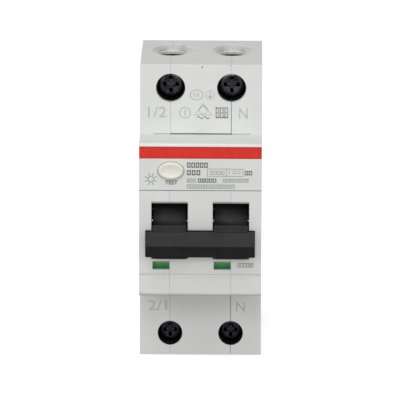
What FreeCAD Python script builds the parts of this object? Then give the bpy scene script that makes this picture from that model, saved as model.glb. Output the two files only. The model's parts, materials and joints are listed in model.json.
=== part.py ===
import FreeCAD, Part
import math
import os
import re
import Sketcher

# A residual current breaker, two modules wide, for a 35 mm rail. Millimetres. X runs across the
# modules, the front faces -Y and Z is up. The origin is the centre of the face that rests on the rail.

# Sizes that can be set one by one. A depth is measured forward from the rail seat, towards -Y.
SIZES = {
    # case
    "case_width": 35, "case_height": 85, "shoulder_depth": 43.5, "nose_depth": 58, "nose_height": 44.4,
    "back_depth": 5.5, "back_bevel": 6.5, "case_wall": 1.6, "side_wall": 1.5, "mid_wall": 1.6,
    "nose_round": 1.0, "face_play": 0.2,
    # rail seat
    "rail_height": 35, "rail_play": 0.3, "rail_hook": 1.5, "rail_groove": 2.2,
    "relief_depth": 0.5, "relief_height": 2.0,
    # how far a cutting tool runs past what it cuts, and how far joined walls run into each other
    "over": 1, "skin_overlap": 0.1,
    # cap over the upper half of the nose, with its coloured band
    "cap_joint": 8.45, "cap_gap": 0.15, "cap_wall": 1.5, "cap_round": 1.0, "band_top": 21.2,
    "band_height": 3.4, "band_thickness": 0.4, "lug_width": 2.6, "lug_depth": 1.2, "lug_height": 0.5,
    # windows and the groove below them
    "window_width": 10.4, "window_top": 4.7, "window_height": 16.1, "window_bevel": 0.6,
    "lamp_width": 4.85, "lamp_top": -12.1, "lamp_height": 2.35,
    "groove_top": -15.8, "groove_height": 1.0, "groove_depth": 0.3,
    # screw wells
    "upper_screw_inset": 6.9, "lower_screw_inset": 6.3, "upper_well_radius": 4.2,
    "lower_well_radius": 3.55, "upper_well_depth": 9.8, "lower_well_depth": 7.8,
    "well_wall": 1.2, "well_floor": 1.2,
    # cable entries
    "entry_width": 7.6, "entry_length": 10, "entry_depth": 13, "entry_wall": 2.2, "funnel_half_width": 5.8,
    "funnel_half_length": 10.2, "funnel_axis_depth": 18, "funnel_rise": 1.8, "partition": 1.0,
    "block_margin": 1, "block_side": 0.8, "entry_block_back": 6.6, "funnel_lap": 0.2,
    "partition_back": 2.1, "notch_play": 0.4, "notch_side": 0.5,
    # clamp terminals
    "shank_radius": 2.4, "thread_play": 0.1, "head_play": 0.3, "head_height": 2.6, "head_lift": 0.2,
    "slot_width": 1.1, "slot_depth": 1.4, "plate_back_depth": 18.1, "plate_thickness": 1.5,
    "plate_half_width": 3.5, "plate_play": 0.2, "cage_inner_half": 3.9, "cage_side": 1.2,
    "cage_front": 2.2, "cage_back": 1.4, "cage_half_height": 3.9, "cage_throat": 10.4,
    "chamber_play": 0.5, "foot_thickness": 1.2, "foot_gap": 0.1, "pad_thickness": 1.3,
    "contact_half_width": 2.0, "fixed_pad_top": -17.0, "fixed_pad_height": 4.5, "lower_plate_top": -13.5,
    "slot_share": 0.62, "plate_overhang": 0.4, "foot_lap": 0.6, "foot_margin": 1, "plate_lift": 0.1,
    # rivets through the case
    "rivet_radius": 1.3, "rivet_play": 0.05, "rivet_head_radius": 2.2, "rivet_head_height": 0.7,
    "rivet_recess_radius": 2.4, "rivet_recess_depth": 0.8, "rivet_boss_radius": 2.0,
    "upper_front_rivet_y": -39.5, "upper_front_rivet_z": 25.5, "upper_back_rivet_y": 0.8,
    "upper_back_rivet_z": 25, "lower_front_rivet_y": -39.6, "lower_front_rivet_z": -27,
    "lower_back_rivet_y": -4, "lower_back_rivet_z": -26, "nose_rivet_y": -44.5, "nose_rivet_z": -17.2,
    "middle_back_rivet_y": -4.5, "middle_back_rivet_z": -1,
    # pins and their sockets
    "pin_socket": 0.8, "pin_play": 0.05,
    # toggles and the bar that ties them
    "toggle_y": -46.5, "toggle_z": -2.4, "toggle_tilt": 15, "drum_radius": 8.9, "drum_width": 9.6,
    "toggle_pin_radius": 1.5, "spring_well_radius": 7.2, "spring_well_depth": 5.5, "drum_hub_radius": 3.0,
    "neck_root": 8.0, "neck_tip": 14.4, "neck_bottom": -3.4, "neck_top": 2.2, "tongue_length": 0.8,
    "tongue_inset": 0.2, "socket_play": 0.1, "tie_bar_width": 31.3, "tie_bar_thickness": 3.1,
    "tie_bar_reach": 4.0, "tie_bar_lip": 1.0, "tie_bar_heel": 1.6, "tie_bar_crest": 0.3,
    "tie_bar_step": 0.6, "paddle_top": 5.6, "tie_recess_half": 5.2, "tie_recess_depth": 0.9,
    "toggle_spring_radius": 4.6, "toggle_spring_wire": 0.4, "toggle_spring_turns": 5,
    "spring_side": 0.3,
    # drive links
    "crank_radius": 5.6, "crank_angle": 25, "link_wire": 0.6, "link_offset": 5.95, "link_leg": 2.4,
    "link_play": 0.1, "eye_play": 0.5, "leg_play": 0.3,
    # contact carriers
    "carrier_y": -28.2, "carrier_z": -8.5, "carrier_pin_radius": 1.2, "carrier_hub_radius": 3.0,
    "eye_y": -36.2, "eye_z": -10.5, "eye_radius": 2.2, "carrier_left": -5.0, "carrier_right": 4.0,
    "crank_plate": 2.5, "finger_thickness": 1.6, "finger_length": 13.5, "arm_thickness": 1.6,
    "tip_thickness": 0.8, "tip_top": 10.8, "tip_length": 2.4, "strip_gap": 0.05,
    # trip lever
    "lever_y": -32, "lever_z": 11, "lever_pin_radius": 1.0, "lever_hub_radius": 2.1, "lever_front": -14.2,
    "lever_end": -2.6, "lever_thickness": 1.4, "lever_foot": 5.0, "lever_head": 22,
    "lever_foot_width": 4.4, "lever_head_width": 7.2,
    # bimetal strip
    "bimetal_left": -15.0, "bimetal_width": 4.4, "bimetal_y": -35.4, "bimetal_thickness": 1.1,
    "bimetal_bottom": 6.0, "adjuster_radius": 0.8, "adjuster_head": 1.4, "adjuster_z": 8.0,
    "adjuster_tip_y": -33.3, "adjuster_length": 4.4, "adjuster_head_height": 0.9,
    # trip coil
    "coil_z": 19.5, "bobbin_front_y": -24, "bobbin_length": 16, "bobbin_bore": 2.6, "bobbin_tube": 3.6,
    "bobbin_flange": 6.0, "flange_thickness": 1.0, "winding_radius": 4.9, "winding_wire": 0.85,
    "winding_turns": 7, "winding_gap": 0.1, "yoke_thickness": 1.2, "yoke_half_width": 7.0,
    "yoke_bottom": 11.6,
    "yoke_top": 26.0, "yoke_gap": 0.2, "plunger_radius": 2.4, "plunger_front_y": -20.0,
    "plunger_length": 8.0, "rod_radius": 0.9, "rod_tip_y": -29.0, "rod_play": 0.3,
    "return_spring_radius": 1.65, "return_spring_wire": 0.25, "return_spring_turns": 4,
    # arc chute
    "chute_front_y": -37.0, "chute_pitch": 1.7, "chute_plate": 0.8, "chute_count": 9, "chute_left": -5.85,
    "chute_right": 5.85, "chute_bottom": -30.6, "chute_height": 7.2, "chute_notch": 4.2, "cheek": 0.8,
    "cheek_overhang": 0.4,
    # current transformer
    "ring_x": 8.4, "ring_y": -17, "ring_z": 14, "ring_inner": 6.5, "ring_outer": 10.5,
    "ring_length": 8.0, "ring_wire": 0.45, "ring_turns": 24, "ring_play": 0.05, "cradle_width": 4.0,
    "cradle_offset": 5.5, "cradle_height": 2.0, "conductor_radius": 1.1, "conductor_spread": 3.5,
    "conductor_shift": 0.275, "conductor_x": 14.4,
    "wall_hole": 4.5, "phase_start_x": -1.9, "phase_end_z": 0.0, "neutral_turn_x": 2.2,
    "neutral_end_z": -2.0,
    # trip relay
    "relay_left": 2.6, "relay_width": 10.8, "relay_back_y": -31.4, "relay_bottom": 9.5,
    "relay_height": 12.0, "relay_pin_x": 8.0, "relay_pin_y": -36.0, "relay_pin_radius": 1.1,
    "relay_pin_tip": 7.2, "relay_pin_length": 8.0, "relay_bore_end": 0.5,
    # circuit board
    "board_x": 3.2, "board_thickness": 1.2, "board_front_y": -16.5, "board_depth": 10.0,
    "board_bottom": -29.0, "board_height": 24.0, "post_radius": 1.5, "post_inset": 3.5,
    "capacitor_radius": 2.6, "capacitor_height": 6.0, "chip_width": 4.0, "chip_height": 1.6,
    "chip_shift": 1.5,
    # test button and its circuit
    "button_x": -8.43, "button_z": 14.3, "button_half_width": 3.7, "button_half_height": 2.5,
    "button_proud": 0.8, "button_play": 0.1, "button_flange": 0.6, "button_flange_height": 1.2,
    "button_stem": 1.6, "button_gap": 0.2, "bracket_depth": 49.5, "bracket_thickness": 1.2,
    "bracket_left": -14.0, "bracket_right": -2.9, "bracket_half_height": 3.6, "bracket_post": 1,
    "stem_tip_depth": 48,
    "button_spring_radius": 2.25, "button_spring_wire": 0.25, "button_spring_turns": 6,
    "stem_play": 0.15, "blade_depth": 46.3, "blade_thickness": 0.4, "blade_left": -14.6,
    "blade_width": 3.0, "blade_end": 2, "blade_foot": 2, "resistor_x": 7.0, "resistor_half_length": 4.0,
    "resistor_radius": 1.4,
    "resistor_y": -50, "resistor_z": 13.5, "lead_radius": 0.4, "lead_overhang": 1.6,
    # indicator flags
    "flag_y": -50.6, "flag_z": -13.3, "flag_radius": 5.5, "flag_skin": 1.6, "flag_hub_radius": 1.8,
    "flag_pin_radius": 0.6, "flag_left": -5.45, "flag_width": 6.0, "flag_low": -43, "flag_high": 15,
    "flag_spoke": 1.2,
    # rail clips
    "clip_wide_half": 4.5, "clip_narrow_half": 3.0, "clip_front_y": 1.7, "clip_step_y": 3.9,
    "clip_back_y": 5.3, "clip_bottom": -42.2, "clip_nose": -16.0, "clip_play": 0.2,
    "clip_nose_bevel": 1.0, "clip_window_half": 1.7, "clip_window_bottom": -33.4,
    "clip_window_top": -24.5, "peg_half": 1.4, "peg_bottom": -33.0, "peg_height": 1.5,
    "clip_spring_radius": 0.9, "clip_spring_wire": 0.22, "clip_spring_turns": 7, "spring_gap": 0.05,
    "clip_hook": 2, "pry_inset": 1, "pry_bottom": 1.2, "pry_height": 1.4,
}

# Places worked out from the sizes.
PLACES = {
    "half_width": "case_width / 2", "seam_x": "case_width / 4", "top_z": "case_height / 2",
    "nose_half": "nose_height / 2", "slot_half": "rail_height / 2 + rail_play",
    "inner_x": "half_width - side_wall", "wall_x": "mid_wall / 2",
    "bevel_sum": "back_depth + top_z - back_bevel", "inner_bevel": "bevel_sum - case_wall * sqrt(2)",
    "inner_top": "top_z - case_wall", "inner_shoulder": "shoulder_depth - case_wall",
    "inner_nose": "nose_depth - case_wall", "clip_channel_y": "clip_front_y - clip_play",
    "clip_floor": "clip_channel_y - case_wall", "shelf_bottom": "cap_joint - case_wall",
    "cap_bottom": "cap_joint + cap_gap", "cap_inner": "nose_depth - cap_wall",
    "upper_screw_z": "top_z - upper_screw_inset", "lower_screw_z": "-top_z + lower_screw_inset",
    "upper_floor": "shoulder_depth - upper_well_depth",
    "lower_floor": "shoulder_depth - lower_well_depth",
    "plate_front_depth": "plate_back_depth + plate_thickness",
    "cage_front_depth": "plate_front_depth + plate_play",
    "cage_back_depth": "plate_back_depth - cage_throat",
    "upper_partition": "upper_screw_z - cage_half_height - chamber_play",
    "lower_partition": "lower_screw_z + cage_half_height + chamber_play",
    "foot_top": "upper_partition - partition - foot_gap", "foot_bottom": "foot_top - foot_thickness",
    "crank_y": "toggle_y + crank_radius * cos(crank_angle * 1 deg)",
    "crank_z": "toggle_z + crank_radius * sin(crank_angle * 1 deg)",
    "link_run": "eye_y - crank_y", "link_drop": "crank_z - eye_z",
    "link_length": "sqrt(link_run * link_run + link_drop * link_drop)",
    "bobbin_back_y": "bobbin_front_y + bobbin_length",
    "yoke_front_y": "bobbin_front_y - yoke_gap - yoke_thickness",
    "yoke_back_y": "bobbin_back_y + yoke_gap",
    "phase_y": "ring_y + conductor_spread / 2 + conductor_shift",
    "neutral_y": "ring_y - conductor_spread / 2 + conductor_shift",
    "ring_half": "ring_length / 2 + ring_play + ring_wire",
}
MODULES = {"left": "-seam_x", "right": "seam_x"}
ENDS = {"line": "upper", "load": "lower"}
PLANES = {"x": ("YZ_Plane", 1), "y": ("XZ_Plane", -1), "z": ("XY_Plane", 1)}
TURNS = {
    "x": FreeCAD.Rotation(FreeCAD.Vector(0, 1, 0), 90),
    "y": FreeCAD.Rotation(FreeCAD.Vector(1, 0, 0), -90),
    "z": FreeCAD.Rotation(),
}
WORD = re.compile(r"[a-z][a-z_0-9]*")
ALONG_X = FreeCAD.Vector(1, 0, 0)

doc = FreeCAD.newDocument("residual_current_breaker")
sheet = doc.addObject("Spreadsheet::Sheet", "Sizes")
kept = []


def fill_sheet():
    """Give each size a cell of its own, with its name as the alias."""
    for row, (name, size) in enumerate(SIZES.items(), 1):
        sheet.set(f"A{row}", name)
        sheet.set(f"B{row}", str(size))
        sheet.setAlias(f"B{row}", name)
    doc.recompute()


def formula(text):
    """A formula with each worked-out place written in full and each size pointed at its cell."""
    text = str(text)
    while WORD.search(text) and any(word in PLACES for word in WORD.findall(text)):
        text = WORD.sub(lambda word: f"({PLACES[word[0]]})" if word[0] in PLACES else word[0], text)
    return WORD.sub(lambda word: f"Sizes.{word[0]}" if word[0] in SIZES else word[0], text)


def value(text):
    """The number that a formula gives now."""
    return float(sheet.evalExpression(formula(text)))


def bind(thing, field, text):
    thing.setExpression(field, formula(text))


def seat(thing, turn, x=0, y=0, z=0):
    """Turn a thing and tie its place to the sheet."""
    thing.Placement = FreeCAD.Placement(FreeCAD.Vector(), turn)
    for axis, place in zip("xyz", (x, y, z)):
        bind(thing, f"Placement.Base.{axis}", place)


def box(x, y, z, name="block"):
    """A block between a low and a high place along each axis."""
    block = doc.addObject("Part::Box", name)
    for side, (low, high) in zip(("Length", "Width", "Height"), (x, y, z)):
        bind(block, side, f"({high}) - ({low})")
    seat(block, FreeCAD.Rotation(), x[0], y[0], z[0])
    return block


def rod(axis, centre, radius, span, name="rod"):
    """A round rod along an axis, between two places on it."""
    part = doc.addObject("Part::Cylinder", name)
    bind(part, "Radius", radius)
    bind(part, "Height", f"({span[1]}) - ({span[0]})")
    place = dict(zip([letter for letter in "xyz" if letter != axis], centre))
    place[axis] = span[0]
    seat(part, TURNS[axis], **place)
    return part


def ball(centre, radius, name="ball"):
    part = doc.addObject("Part::Sphere", name)
    bind(part, "Radius", radius)
    seat(part, FreeCAD.Rotation(), *centre)
    return part


def draw_outline(sketch, corners):
    """Join the corners in a ring and tie each of them to the sheet."""
    points = [FreeCAD.Vector(value(across), value(up), 0) for across, up in corners]
    for start, end in zip(points, points[1:] + points[:1]):
        sketch.addGeometry(Part.LineSegment(start, end), False)
    for line, (across, up) in enumerate(corners):
        follower = (line + 1) % len(corners)
        sketch.addConstraint(Sketcher.Constraint("Coincident", line, 2, follower, 1))
        for kind, place in (("DistanceX", across), ("DistanceY", up)):
            number = sketch.addConstraint(Sketcher.Constraint(kind, -1, 1, line, 1, value(place)))
            bind(sketch, f"Constraints[{number}]", place)


def origin_feature(body, role):
    return next(feature for feature in body.Origin.OriginFeatures if feature.Role == role)


def prism(axis, corners, span, name="plate"):
    """A body padded along an axis from an outline drawn on the plane across that axis."""
    body = doc.addObject("PartDesign::Body", name)
    sketch = body.newObject("Sketcher::SketchObject", f"{name}_outline")
    role, sense = PLANES[axis]
    sketch.AttachmentSupport = (origin_feature(body, role), [""])
    sketch.MapMode = "FlatFace"
    bind(sketch, "AttachmentOffset.Base.z", f"{sense} * ({span[0] if sense > 0 else span[1]})")
    draw_outline(sketch, corners)
    pad = body.newObject("PartDesign::Pad", f"{name}_pad")
    pad.Profile = sketch
    bind(pad, "Length", f"({span[1]}) - ({span[0]})")
    return body


def round_edges(body, radius, chosen):
    """Round the edges of a body whose middle passes a test."""
    doc.recompute()
    solid = body.Tip
    fillet = body.newObject("PartDesign::Fillet", f"{body.Name}_round")
    edges = enumerate(solid.Shape.Edges, 1)
    fillet.Base = (solid, [f"Edge{number}" for number, edge in edges if chosen(edge.CenterOfMass)])
    bind(fillet, "Radius", radius)


def fuse(*parts, name="joined"):
    joined = doc.addObject("Part::MultiFuse", name)
    joined.Shapes = list(parts)
    joined.Refine = True
    return joined


def gather(*parts, name="group"):
    """Separate solids kept together as one piece's group."""
    group = doc.addObject("Part::Compound", name)
    group.Links = list(parts)
    return group


def cut(base, *tools, name="trimmed", refine=True):
    trimmed = doc.addObject("Part::Cut", name)
    trimmed.Base = base
    trimmed.Tool = tools[0] if len(tools) == 1 else fuse(*tools, name="tools")
    trimmed.Refine = refine
    return trimmed


def common(base, tool, name="shared"):
    shared = doc.addObject("Part::Common", name)
    shared.Base = base
    shared.Tool = tool
    shared.Refine = True
    return shared


def tube(axis, centre, radii, span):
    inner, outer = radii
    return cut(rod(axis, centre, outer, span), rod(axis, centre, inner, span))


def strap(x, start, end, half_height):
    """A flat bar from one (y, z) point to another."""
    bar = doc.addObject("Part::Box", "strap")
    run, rise = f"(({end[0]}) - ({start[0]}))", f"(({end[1]}) - ({start[1]}))"
    length = f"sqrt({run} * {run} + {rise} * {rise})"
    bind(bar, "Length", f"({x[1]}) - ({x[0]})")
    bind(bar, "Width", length)
    bind(bar, "Height", f"2 * ({half_height})")
    y = f"({start[0]}) + ({half_height}) * {rise} / {length}"
    z = f"({start[1]}) - ({half_height}) * {run} / {length}"
    seat(bar, FreeCAD.Rotation(ALONG_X, 1), x[0], y, z)
    bind(bar, "Placement.Rotation.Angle", f"atan2({rise}; {run})")
    return bar


def coil(axis, centre, span, mean, wire, turns, name="coil"):
    """A round wire wound on a helix of one edge a turn, its ends inside the span."""
    helix = doc.addObject("Part::Helix", "coil_path")
    helix.SegmentLength = 1
    bind(helix, "Radius", mean)
    bind(helix, "Height", f"({span[1]}) - ({span[0]}) - 2 * ({wire})")
    bind(helix, "Pitch", f"(({span[1]}) - ({span[0]}) - 2 * ({wire})) / ({turns})")
    section = doc.addObject("Part::Circle", "coil_section")
    bind(section, "Radius", wire)
    seat(section, FreeCAD.Rotation(ALONG_X, 90), x=mean)
    sweep = doc.addObject("Part::Sweep", name)
    sweep.Sections = [section]
    sweep.Spine = (helix, [f"Edge{turn + 1}" for turn in range(math.ceil(value(turns)))])
    sweep.Solid = True
    sweep.Frenet = True
    place = dict(zip([letter for letter in "xyz" if letter != axis], centre))
    place[axis] = f"({span[0]}) + ({wire})"
    seat(sweep, TURNS[axis], **place)
    return sweep


def keep(label, part):
    """Name a finished piece, whose label also names its file."""
    part.Label = label
    kept.append(part)
    return part


def across(mid, low, high):
    """A span across a module, measured from its middle."""
    return (f"{mid} + ({low})", f"{mid} + ({high})")


def about(mid, half):
    return across(mid, f"-({half})", half)


def forward(deep, shallow):
    """A span along Y between two depths in front of the rail seat."""
    return (f"-({deep})", f"-({shallow})")


def upright(middle, half):
    return (f"{middle} - ({half})", f"{middle} + ({half})")


def case_profile():
    """The outline of the case from the side, without the cap's place."""
    relief = "slot_half - relief_height"
    return [
        ("-shoulder_depth", "top_z"), ("bevel_sum - top_z", "top_z"), ("back_depth", "top_z - back_bevel"),
        ("back_depth", "slot_half - rail_hook"), ("rail_groove", "slot_half - rail_hook"),
        ("rail_groove", "slot_half"), ("-relief_depth", "slot_half"), ("-relief_depth", relief),
        ("0", relief), ("0", f"-({relief})"), ("-relief_depth", f"-({relief})"),
        ("-relief_depth", "-slot_half"), ("back_depth", "-slot_half"), ("back_depth", "back_bevel - top_z"),
        ("bevel_sum - top_z", "-top_z"), ("-shoulder_depth", "-top_z"), ("-shoulder_depth", "-nose_half"),
        ("-nose_depth", "-nose_half"), ("-nose_depth", "cap_joint"), ("-shoulder_depth", "cap_joint"),
    ]


def cavity_profile():
    """The outline of the hollow inside each module."""
    lip_top = "slot_half + case_wall"
    rail_wall = "-relief_depth - case_wall"
    back = "back_depth - case_wall"
    return [
        ("-inner_shoulder", "inner_top"), ("inner_bevel - inner_top", "inner_top"),
        (back, f"inner_bevel - ({back})"), (back, lip_top), (rail_wall, lip_top),
        (rail_wall, f"-({lip_top})"), ("clip_floor", f"-({lip_top})"),
        ("clip_floor", "clip_floor - inner_bevel"),
        ("inner_bevel - inner_top", "-inner_top"), ("-inner_shoulder", "-inner_top"),
        ("-inner_shoulder", "case_wall - nose_half"), ("-inner_nose", "case_wall - nose_half"),
        ("-inner_nose", "shelf_bottom"), ("-inner_shoulder", "shelf_bottom"),
    ]


def case_body():
    body = prism("x", case_profile(), ("-half_width", "half_width"), name="case_outside")
    front, low = value("-nose_depth"), value("-nose_half")
    round_edges(body, "nose_round", lambda place: abs(place.y - front) + abs(place.z - low) < 0.01)
    left = prism("x", cavity_profile(), ("-inner_x", "-wall_x"), name="left_hollow")
    right = prism("x", cavity_profile(), ("wall_x", "inner_x"), name="right_hollow")
    return cut(body, left, right, name="case_walls")


def well_block(mid, end):
    """The wall and floor round a clamp screw's head."""
    place = (mid, f"{end}_screw_z")
    return rod("y", place, f"{end}_well_radius + well_wall",
               forward("inner_shoulder", f"{end}_floor - well_floor"))


def well_bores(mid, end):
    place = (mid, f"{end}_screw_z")
    head = rod("y", place, f"{end}_well_radius", forward("shoulder_depth + over", f"{end}_floor"))
    shank = rod("y", place, "shank_radius + head_play",
                forward(f"{end}_floor + over", f"{end}_floor - well_floor - over"))
    return [head, shank]


def entry_block(mid, sign):
    """Extra wall where a cable enters the case."""
    z = sorted((f"{sign} * (top_z - entry_wall)", f"{sign} * inner_top"), key=value)
    return box(about(mid, "funnel_half_width + block_side"),
               forward("funnel_axis_depth + funnel_half_length + block_margin", "entry_block_back"), z)


def entry_bores(mid, sign):
    """A long hole for the cable, with a shallow funnel in the outer face."""
    z = sorted((f"{sign} * (top_z + over)", f"{sign} * (top_z - entry_wall - over)"), key=value)
    radius, reach = "entry_width / 2", "(entry_length - entry_width) / 2"
    ends = [rod("z", (mid, f"-entry_depth + {way} * {reach}"), radius, z) for way in (-1, 1)]
    middle = box(about(mid, radius), upright("-entry_depth", reach), z)
    return ends + [middle, funnel(mid, sign)]


def funnel(mid, sign):
    rings = []
    steps = (("funnel_half_length", "funnel_half_width", "funnel_axis_depth", "top_z"),
             ("entry_length / 2 + funnel_lap", "entry_width / 2 + funnel_lap / 2", "entry_depth",
              "top_z - funnel_rise"))
    for long_half, wide_half, depth, height in steps:
        ring = doc.addObject("Part::Ellipse", "funnel_ring")
        bind(ring, "MajorRadius", long_half)
        bind(ring, "MinorRadius", wide_half)
        seat(ring, FreeCAD.Rotation(FreeCAD.Vector(0, 0, 1), 90), mid, f"-({depth})", f"{sign} * ({height})")
        rings.append(ring)
    loft = doc.addObject("Part::Loft", "funnel")
    loft.Sections = rings
    loft.Solid = True
    return loft


def partition_walls(mid_span):
    """Walls that shut the terminal chambers off, with a way through for the plates."""
    y = forward("inner_shoulder", "partition_back")
    upper = box(mid_span, y, ("upper_partition - partition", "upper_partition"))
    lower = box(mid_span, y, ("lower_partition", "lower_partition + partition"))
    return [upper, lower]


def plate_notches(mid):
    y = forward("plate_front_depth + notch_play", "plate_back_depth - notch_play")
    x = about(mid, "plate_half_width + notch_side")
    upper = box(x, y, ("upper_partition - partition - notch_side", "upper_partition + notch_side"))
    lower = box(x, y, ("lower_partition - notch_side", "lower_partition + partition + notch_side"))
    return [upper, lower]


def toggle_window(mid):
    """A window with a sloped upper and lower edge."""
    bottom = "window_top - window_height"
    opening = box(about(mid, "window_width / 2"), forward("nose_depth + over", "inner_nose - skin_overlap"),
                  (bottom, "window_top"))
    outer, inner = "-nose_depth - skin_overlap / 10", "-nose_depth + window_bevel"
    low = "window_top - skin_overlap"
    top = [(outer, low), (inner, low), (inner, "window_top"), (outer, "window_top + window_bevel")]
    return [opening, prism("x", top, about(mid, "window_width / 2"), name="window_slope")]


def lamp_window(mid):
    z = ("lamp_top - lamp_height", "lamp_top")
    return box((f"{mid} - lamp_width", mid), forward("nose_depth + over", "inner_nose - skin_overlap"), z)


def rivet_places():
    names = ("upper_front", "upper_back", "lower_front", "lower_back", "nose", "middle_back")
    return [(f"{name}_rivet_y", f"{name}_rivet_z") for name in names]


def rivet_bores(place):
    shaft = rod("x", place, "rivet_radius + rivet_play", ("-half_width - over", "half_width + over"))
    left = rod("x", place, "rivet_recess_radius", ("-half_width - over", "-half_width + rivet_recess_depth"))
    right = rod("x", place, "rivet_recess_radius", ("half_width - rivet_recess_depth", "half_width + over"))
    return [shaft, left, right]


PINS = {"toggle": "toggle_pin_radius", "carrier": "carrier_pin_radius", "flag": "flag_pin_radius"}


def pin_sockets():
    """Holes for the pins that cross both modules, and for the trip lever's pin in the left one."""
    socket = ("-inner_x - pin_socket", "inner_x + pin_socket")
    holes = [rod("x", (f"{pin}_y", f"{pin}_z"), f"{radius} + pin_play", socket)
             for pin, radius in PINS.items()]
    lever = ("-inner_x - pin_socket", "wall_x - pin_socket")
    return holes + [rod("x", ("lever_y", "lever_z"), "lever_pin_radius + pin_play", lever)]


def clip_channel(mid):
    """A T-shaped channel that guides a rail clip, and the peg its spring pushes on."""
    z = ("-top_z - over", "-slot_half + skin_overlap")
    wide = box(about(mid, "clip_wide_half + clip_play"), ("clip_channel_y", "clip_step_y + clip_play"), z)
    narrow = box(about(mid, "clip_narrow_half + clip_play"), ("clip_step_y", "back_depth + over"), z)
    return [wide, narrow]


def clip_peg(mid):
    z = ("peg_bottom", "peg_bottom + peg_height")
    return box(about(mid, "peg_half"), ("clip_channel_y", "clip_back_y - clip_play"), z, name="spring_peg")


def board_posts():
    x = ("wall_x", "board_x")
    y = "board_front_y + board_depth / 2"
    low, high = "board_bottom + post_inset", "board_bottom + board_height - post_inset"
    return [rod("x", (y, z), "post_radius", x, name="board_post") for z in (low, high)]


def ring_cradle():
    x = ("ring_x + ring_half + face_play", "inner_x")
    y = upright("ring_y - cradle_offset", "cradle_width / 2")
    return box(x, y, ("ring_z - ring_outer", "ring_z - ring_outer + cradle_height"), name="ring_cradle")


def case_additions():
    """What is moulded onto the walls inside."""
    additions = [ring_cradle()] + board_posts()
    additions += [rod("x", place, "rivet_boss_radius", ("-half_width", "half_width"))
                  for place in rivet_places()]
    for span in (("-inner_x", "-wall_x"), ("wall_x", "inner_x")):
        additions += partition_walls(span)
    for mid in MODULES.values():
        for end, sign in (("upper", 1), ("lower", -1)):
            additions += [well_block(mid, end), entry_block(mid, sign)]
    return additions


def case_removals():
    """What is cut out of the case, in groups that are each taken away in turn."""
    groove = box(("-half_width - over", "half_width + over"),
                 forward("nose_depth + over", "nose_depth - groove_depth"),
                 ("groove_top - groove_height", "groove_top"))
    wall_hole = rod("x", ("ring_y", "ring_z"), "wall_hole", ("-wall_x - over", "wall_x + over"))
    groups = [[groove, wall_hole], pin_sockets()] + [rivet_bores(place) for place in rivet_places()]
    for mid in MODULES.values():
        groups += [toggle_window(mid), [lamp_window(mid)], clip_channel(mid), plate_notches(mid)]
        for end, sign in (("upper", 1), ("lower", -1)):
            groups += [well_bores(mid, end), entry_bores(mid, sign)]
    return groups


def case_parts():
    """The moulded case, made whole and then parted at the two seams."""
    case = fuse(case_body(), *case_additions(), name="case_solid")
    for group in case_removals():
        case = cut(case, *group, name="case_cut", refine=False)
    case = fuse(case, *[clip_peg(mid) for mid in MODULES.values()], name="case")
    y, z = ("-nose_depth - over", "back_depth + over"), ("-top_z - over", "top_z + over")
    spans = {"left_case_shell": ("-half_width - over", "-seam_x"), "centre_frame": ("-seam_x", "seam_x"),
             "right_case_shell": ("seam_x", "half_width + over")}
    for label, span in spans.items():
        keep(label, common(case, box(span, y, z)))


def case_rivets():
    rivets = []
    for place in rivet_places():
        seat_x = "half_width - rivet_recess_depth"
        rivets += [rod("x", place, "rivet_radius", (f"-({seat_x})", seat_x)),
                   rod("x", place, "rivet_head_radius", (seat_x, f"{seat_x} + rivet_head_height")),
                   rod("x", place, "rivet_head_radius", (f"-({seat_x}) - rivet_head_height", f"-({seat_x})"))]
    keep("case_rivets", fuse(*rivets))


def oval(half_width, half_height, span):
    """An oval block along Y, centred on the test button."""
    ring = doc.addObject("Part::Ellipse", "oval")
    bind(ring, "MajorRadius", half_width)
    bind(ring, "MinorRadius", half_height)
    seat(ring, FreeCAD.Rotation(ALONG_X, 90), "button_x", span[0], "button_z")
    block = doc.addObject("Part::Extrusion", "oval_block")
    block.Base = ring
    block.DirMode = "Custom"
    block.Dir = FreeCAD.Vector(0, 1, 0)
    block.Solid = True
    bind(block, "LengthFwd", f"({span[1]}) - ({span[0]})")
    return block


def front_cap():
    """The cap over the upper half of the nose, hollow, with the band's seat and the button's bore."""
    outline = [("-nose_depth", "cap_bottom"), ("-shoulder_depth", "cap_bottom"),
               ("-shoulder_depth", "nose_half"), ("-nose_depth", "nose_half")]
    body = prism("x", outline, ("-half_width", "half_width"), name="cap_outside")
    front, high = value("-nose_depth"), value("nose_half")
    round_edges(body, "cap_round", lambda place: abs(place.y - front) + abs(place.z - high) < 0.01)
    hollow = box(("cap_wall - half_width", "half_width - cap_wall"),
                 forward("cap_inner", "shoulder_depth - over"),
                 ("cap_bottom - over", "nose_half - cap_wall"))
    seat_z = ("band_top - band_height", "band_top")
    band_seat = box(("-half_width - over", "half_width + over"),
                    forward("nose_depth + over", "nose_depth - band_thickness"), seat_z)
    bore = oval("button_half_width + button_play", "button_half_height + button_play",
                forward("nose_depth + over", "cap_inner - over"))
    lug = box(upright("0", "lug_width / 2"), forward("shoulder_depth + lug_depth", "shoulder_depth - over"),
              ("nose_half - lug_height", "nose_half + over"))
    posts = [box((left, f"{left} + bracket_post"), forward("cap_inner + skin_overlap", "bracket_depth"),
                 upright("button_z", "bracket_half_height"))
             for left in ("bracket_left", "bracket_right - bracket_post")]
    keep("front_cap", fuse(cut(body, hollow, band_seat, bore, lug), *posts))
    keep("front_band",
         box(("-half_width", "half_width"), forward("nose_depth", "nose_depth - band_thickness"), seat_z))


def head_depths(end):
    """How far forward the two faces of a clamp screw's head lie."""
    low = f"{end}_floor + head_lift"
    return f"{low} + head_height", low


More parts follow.
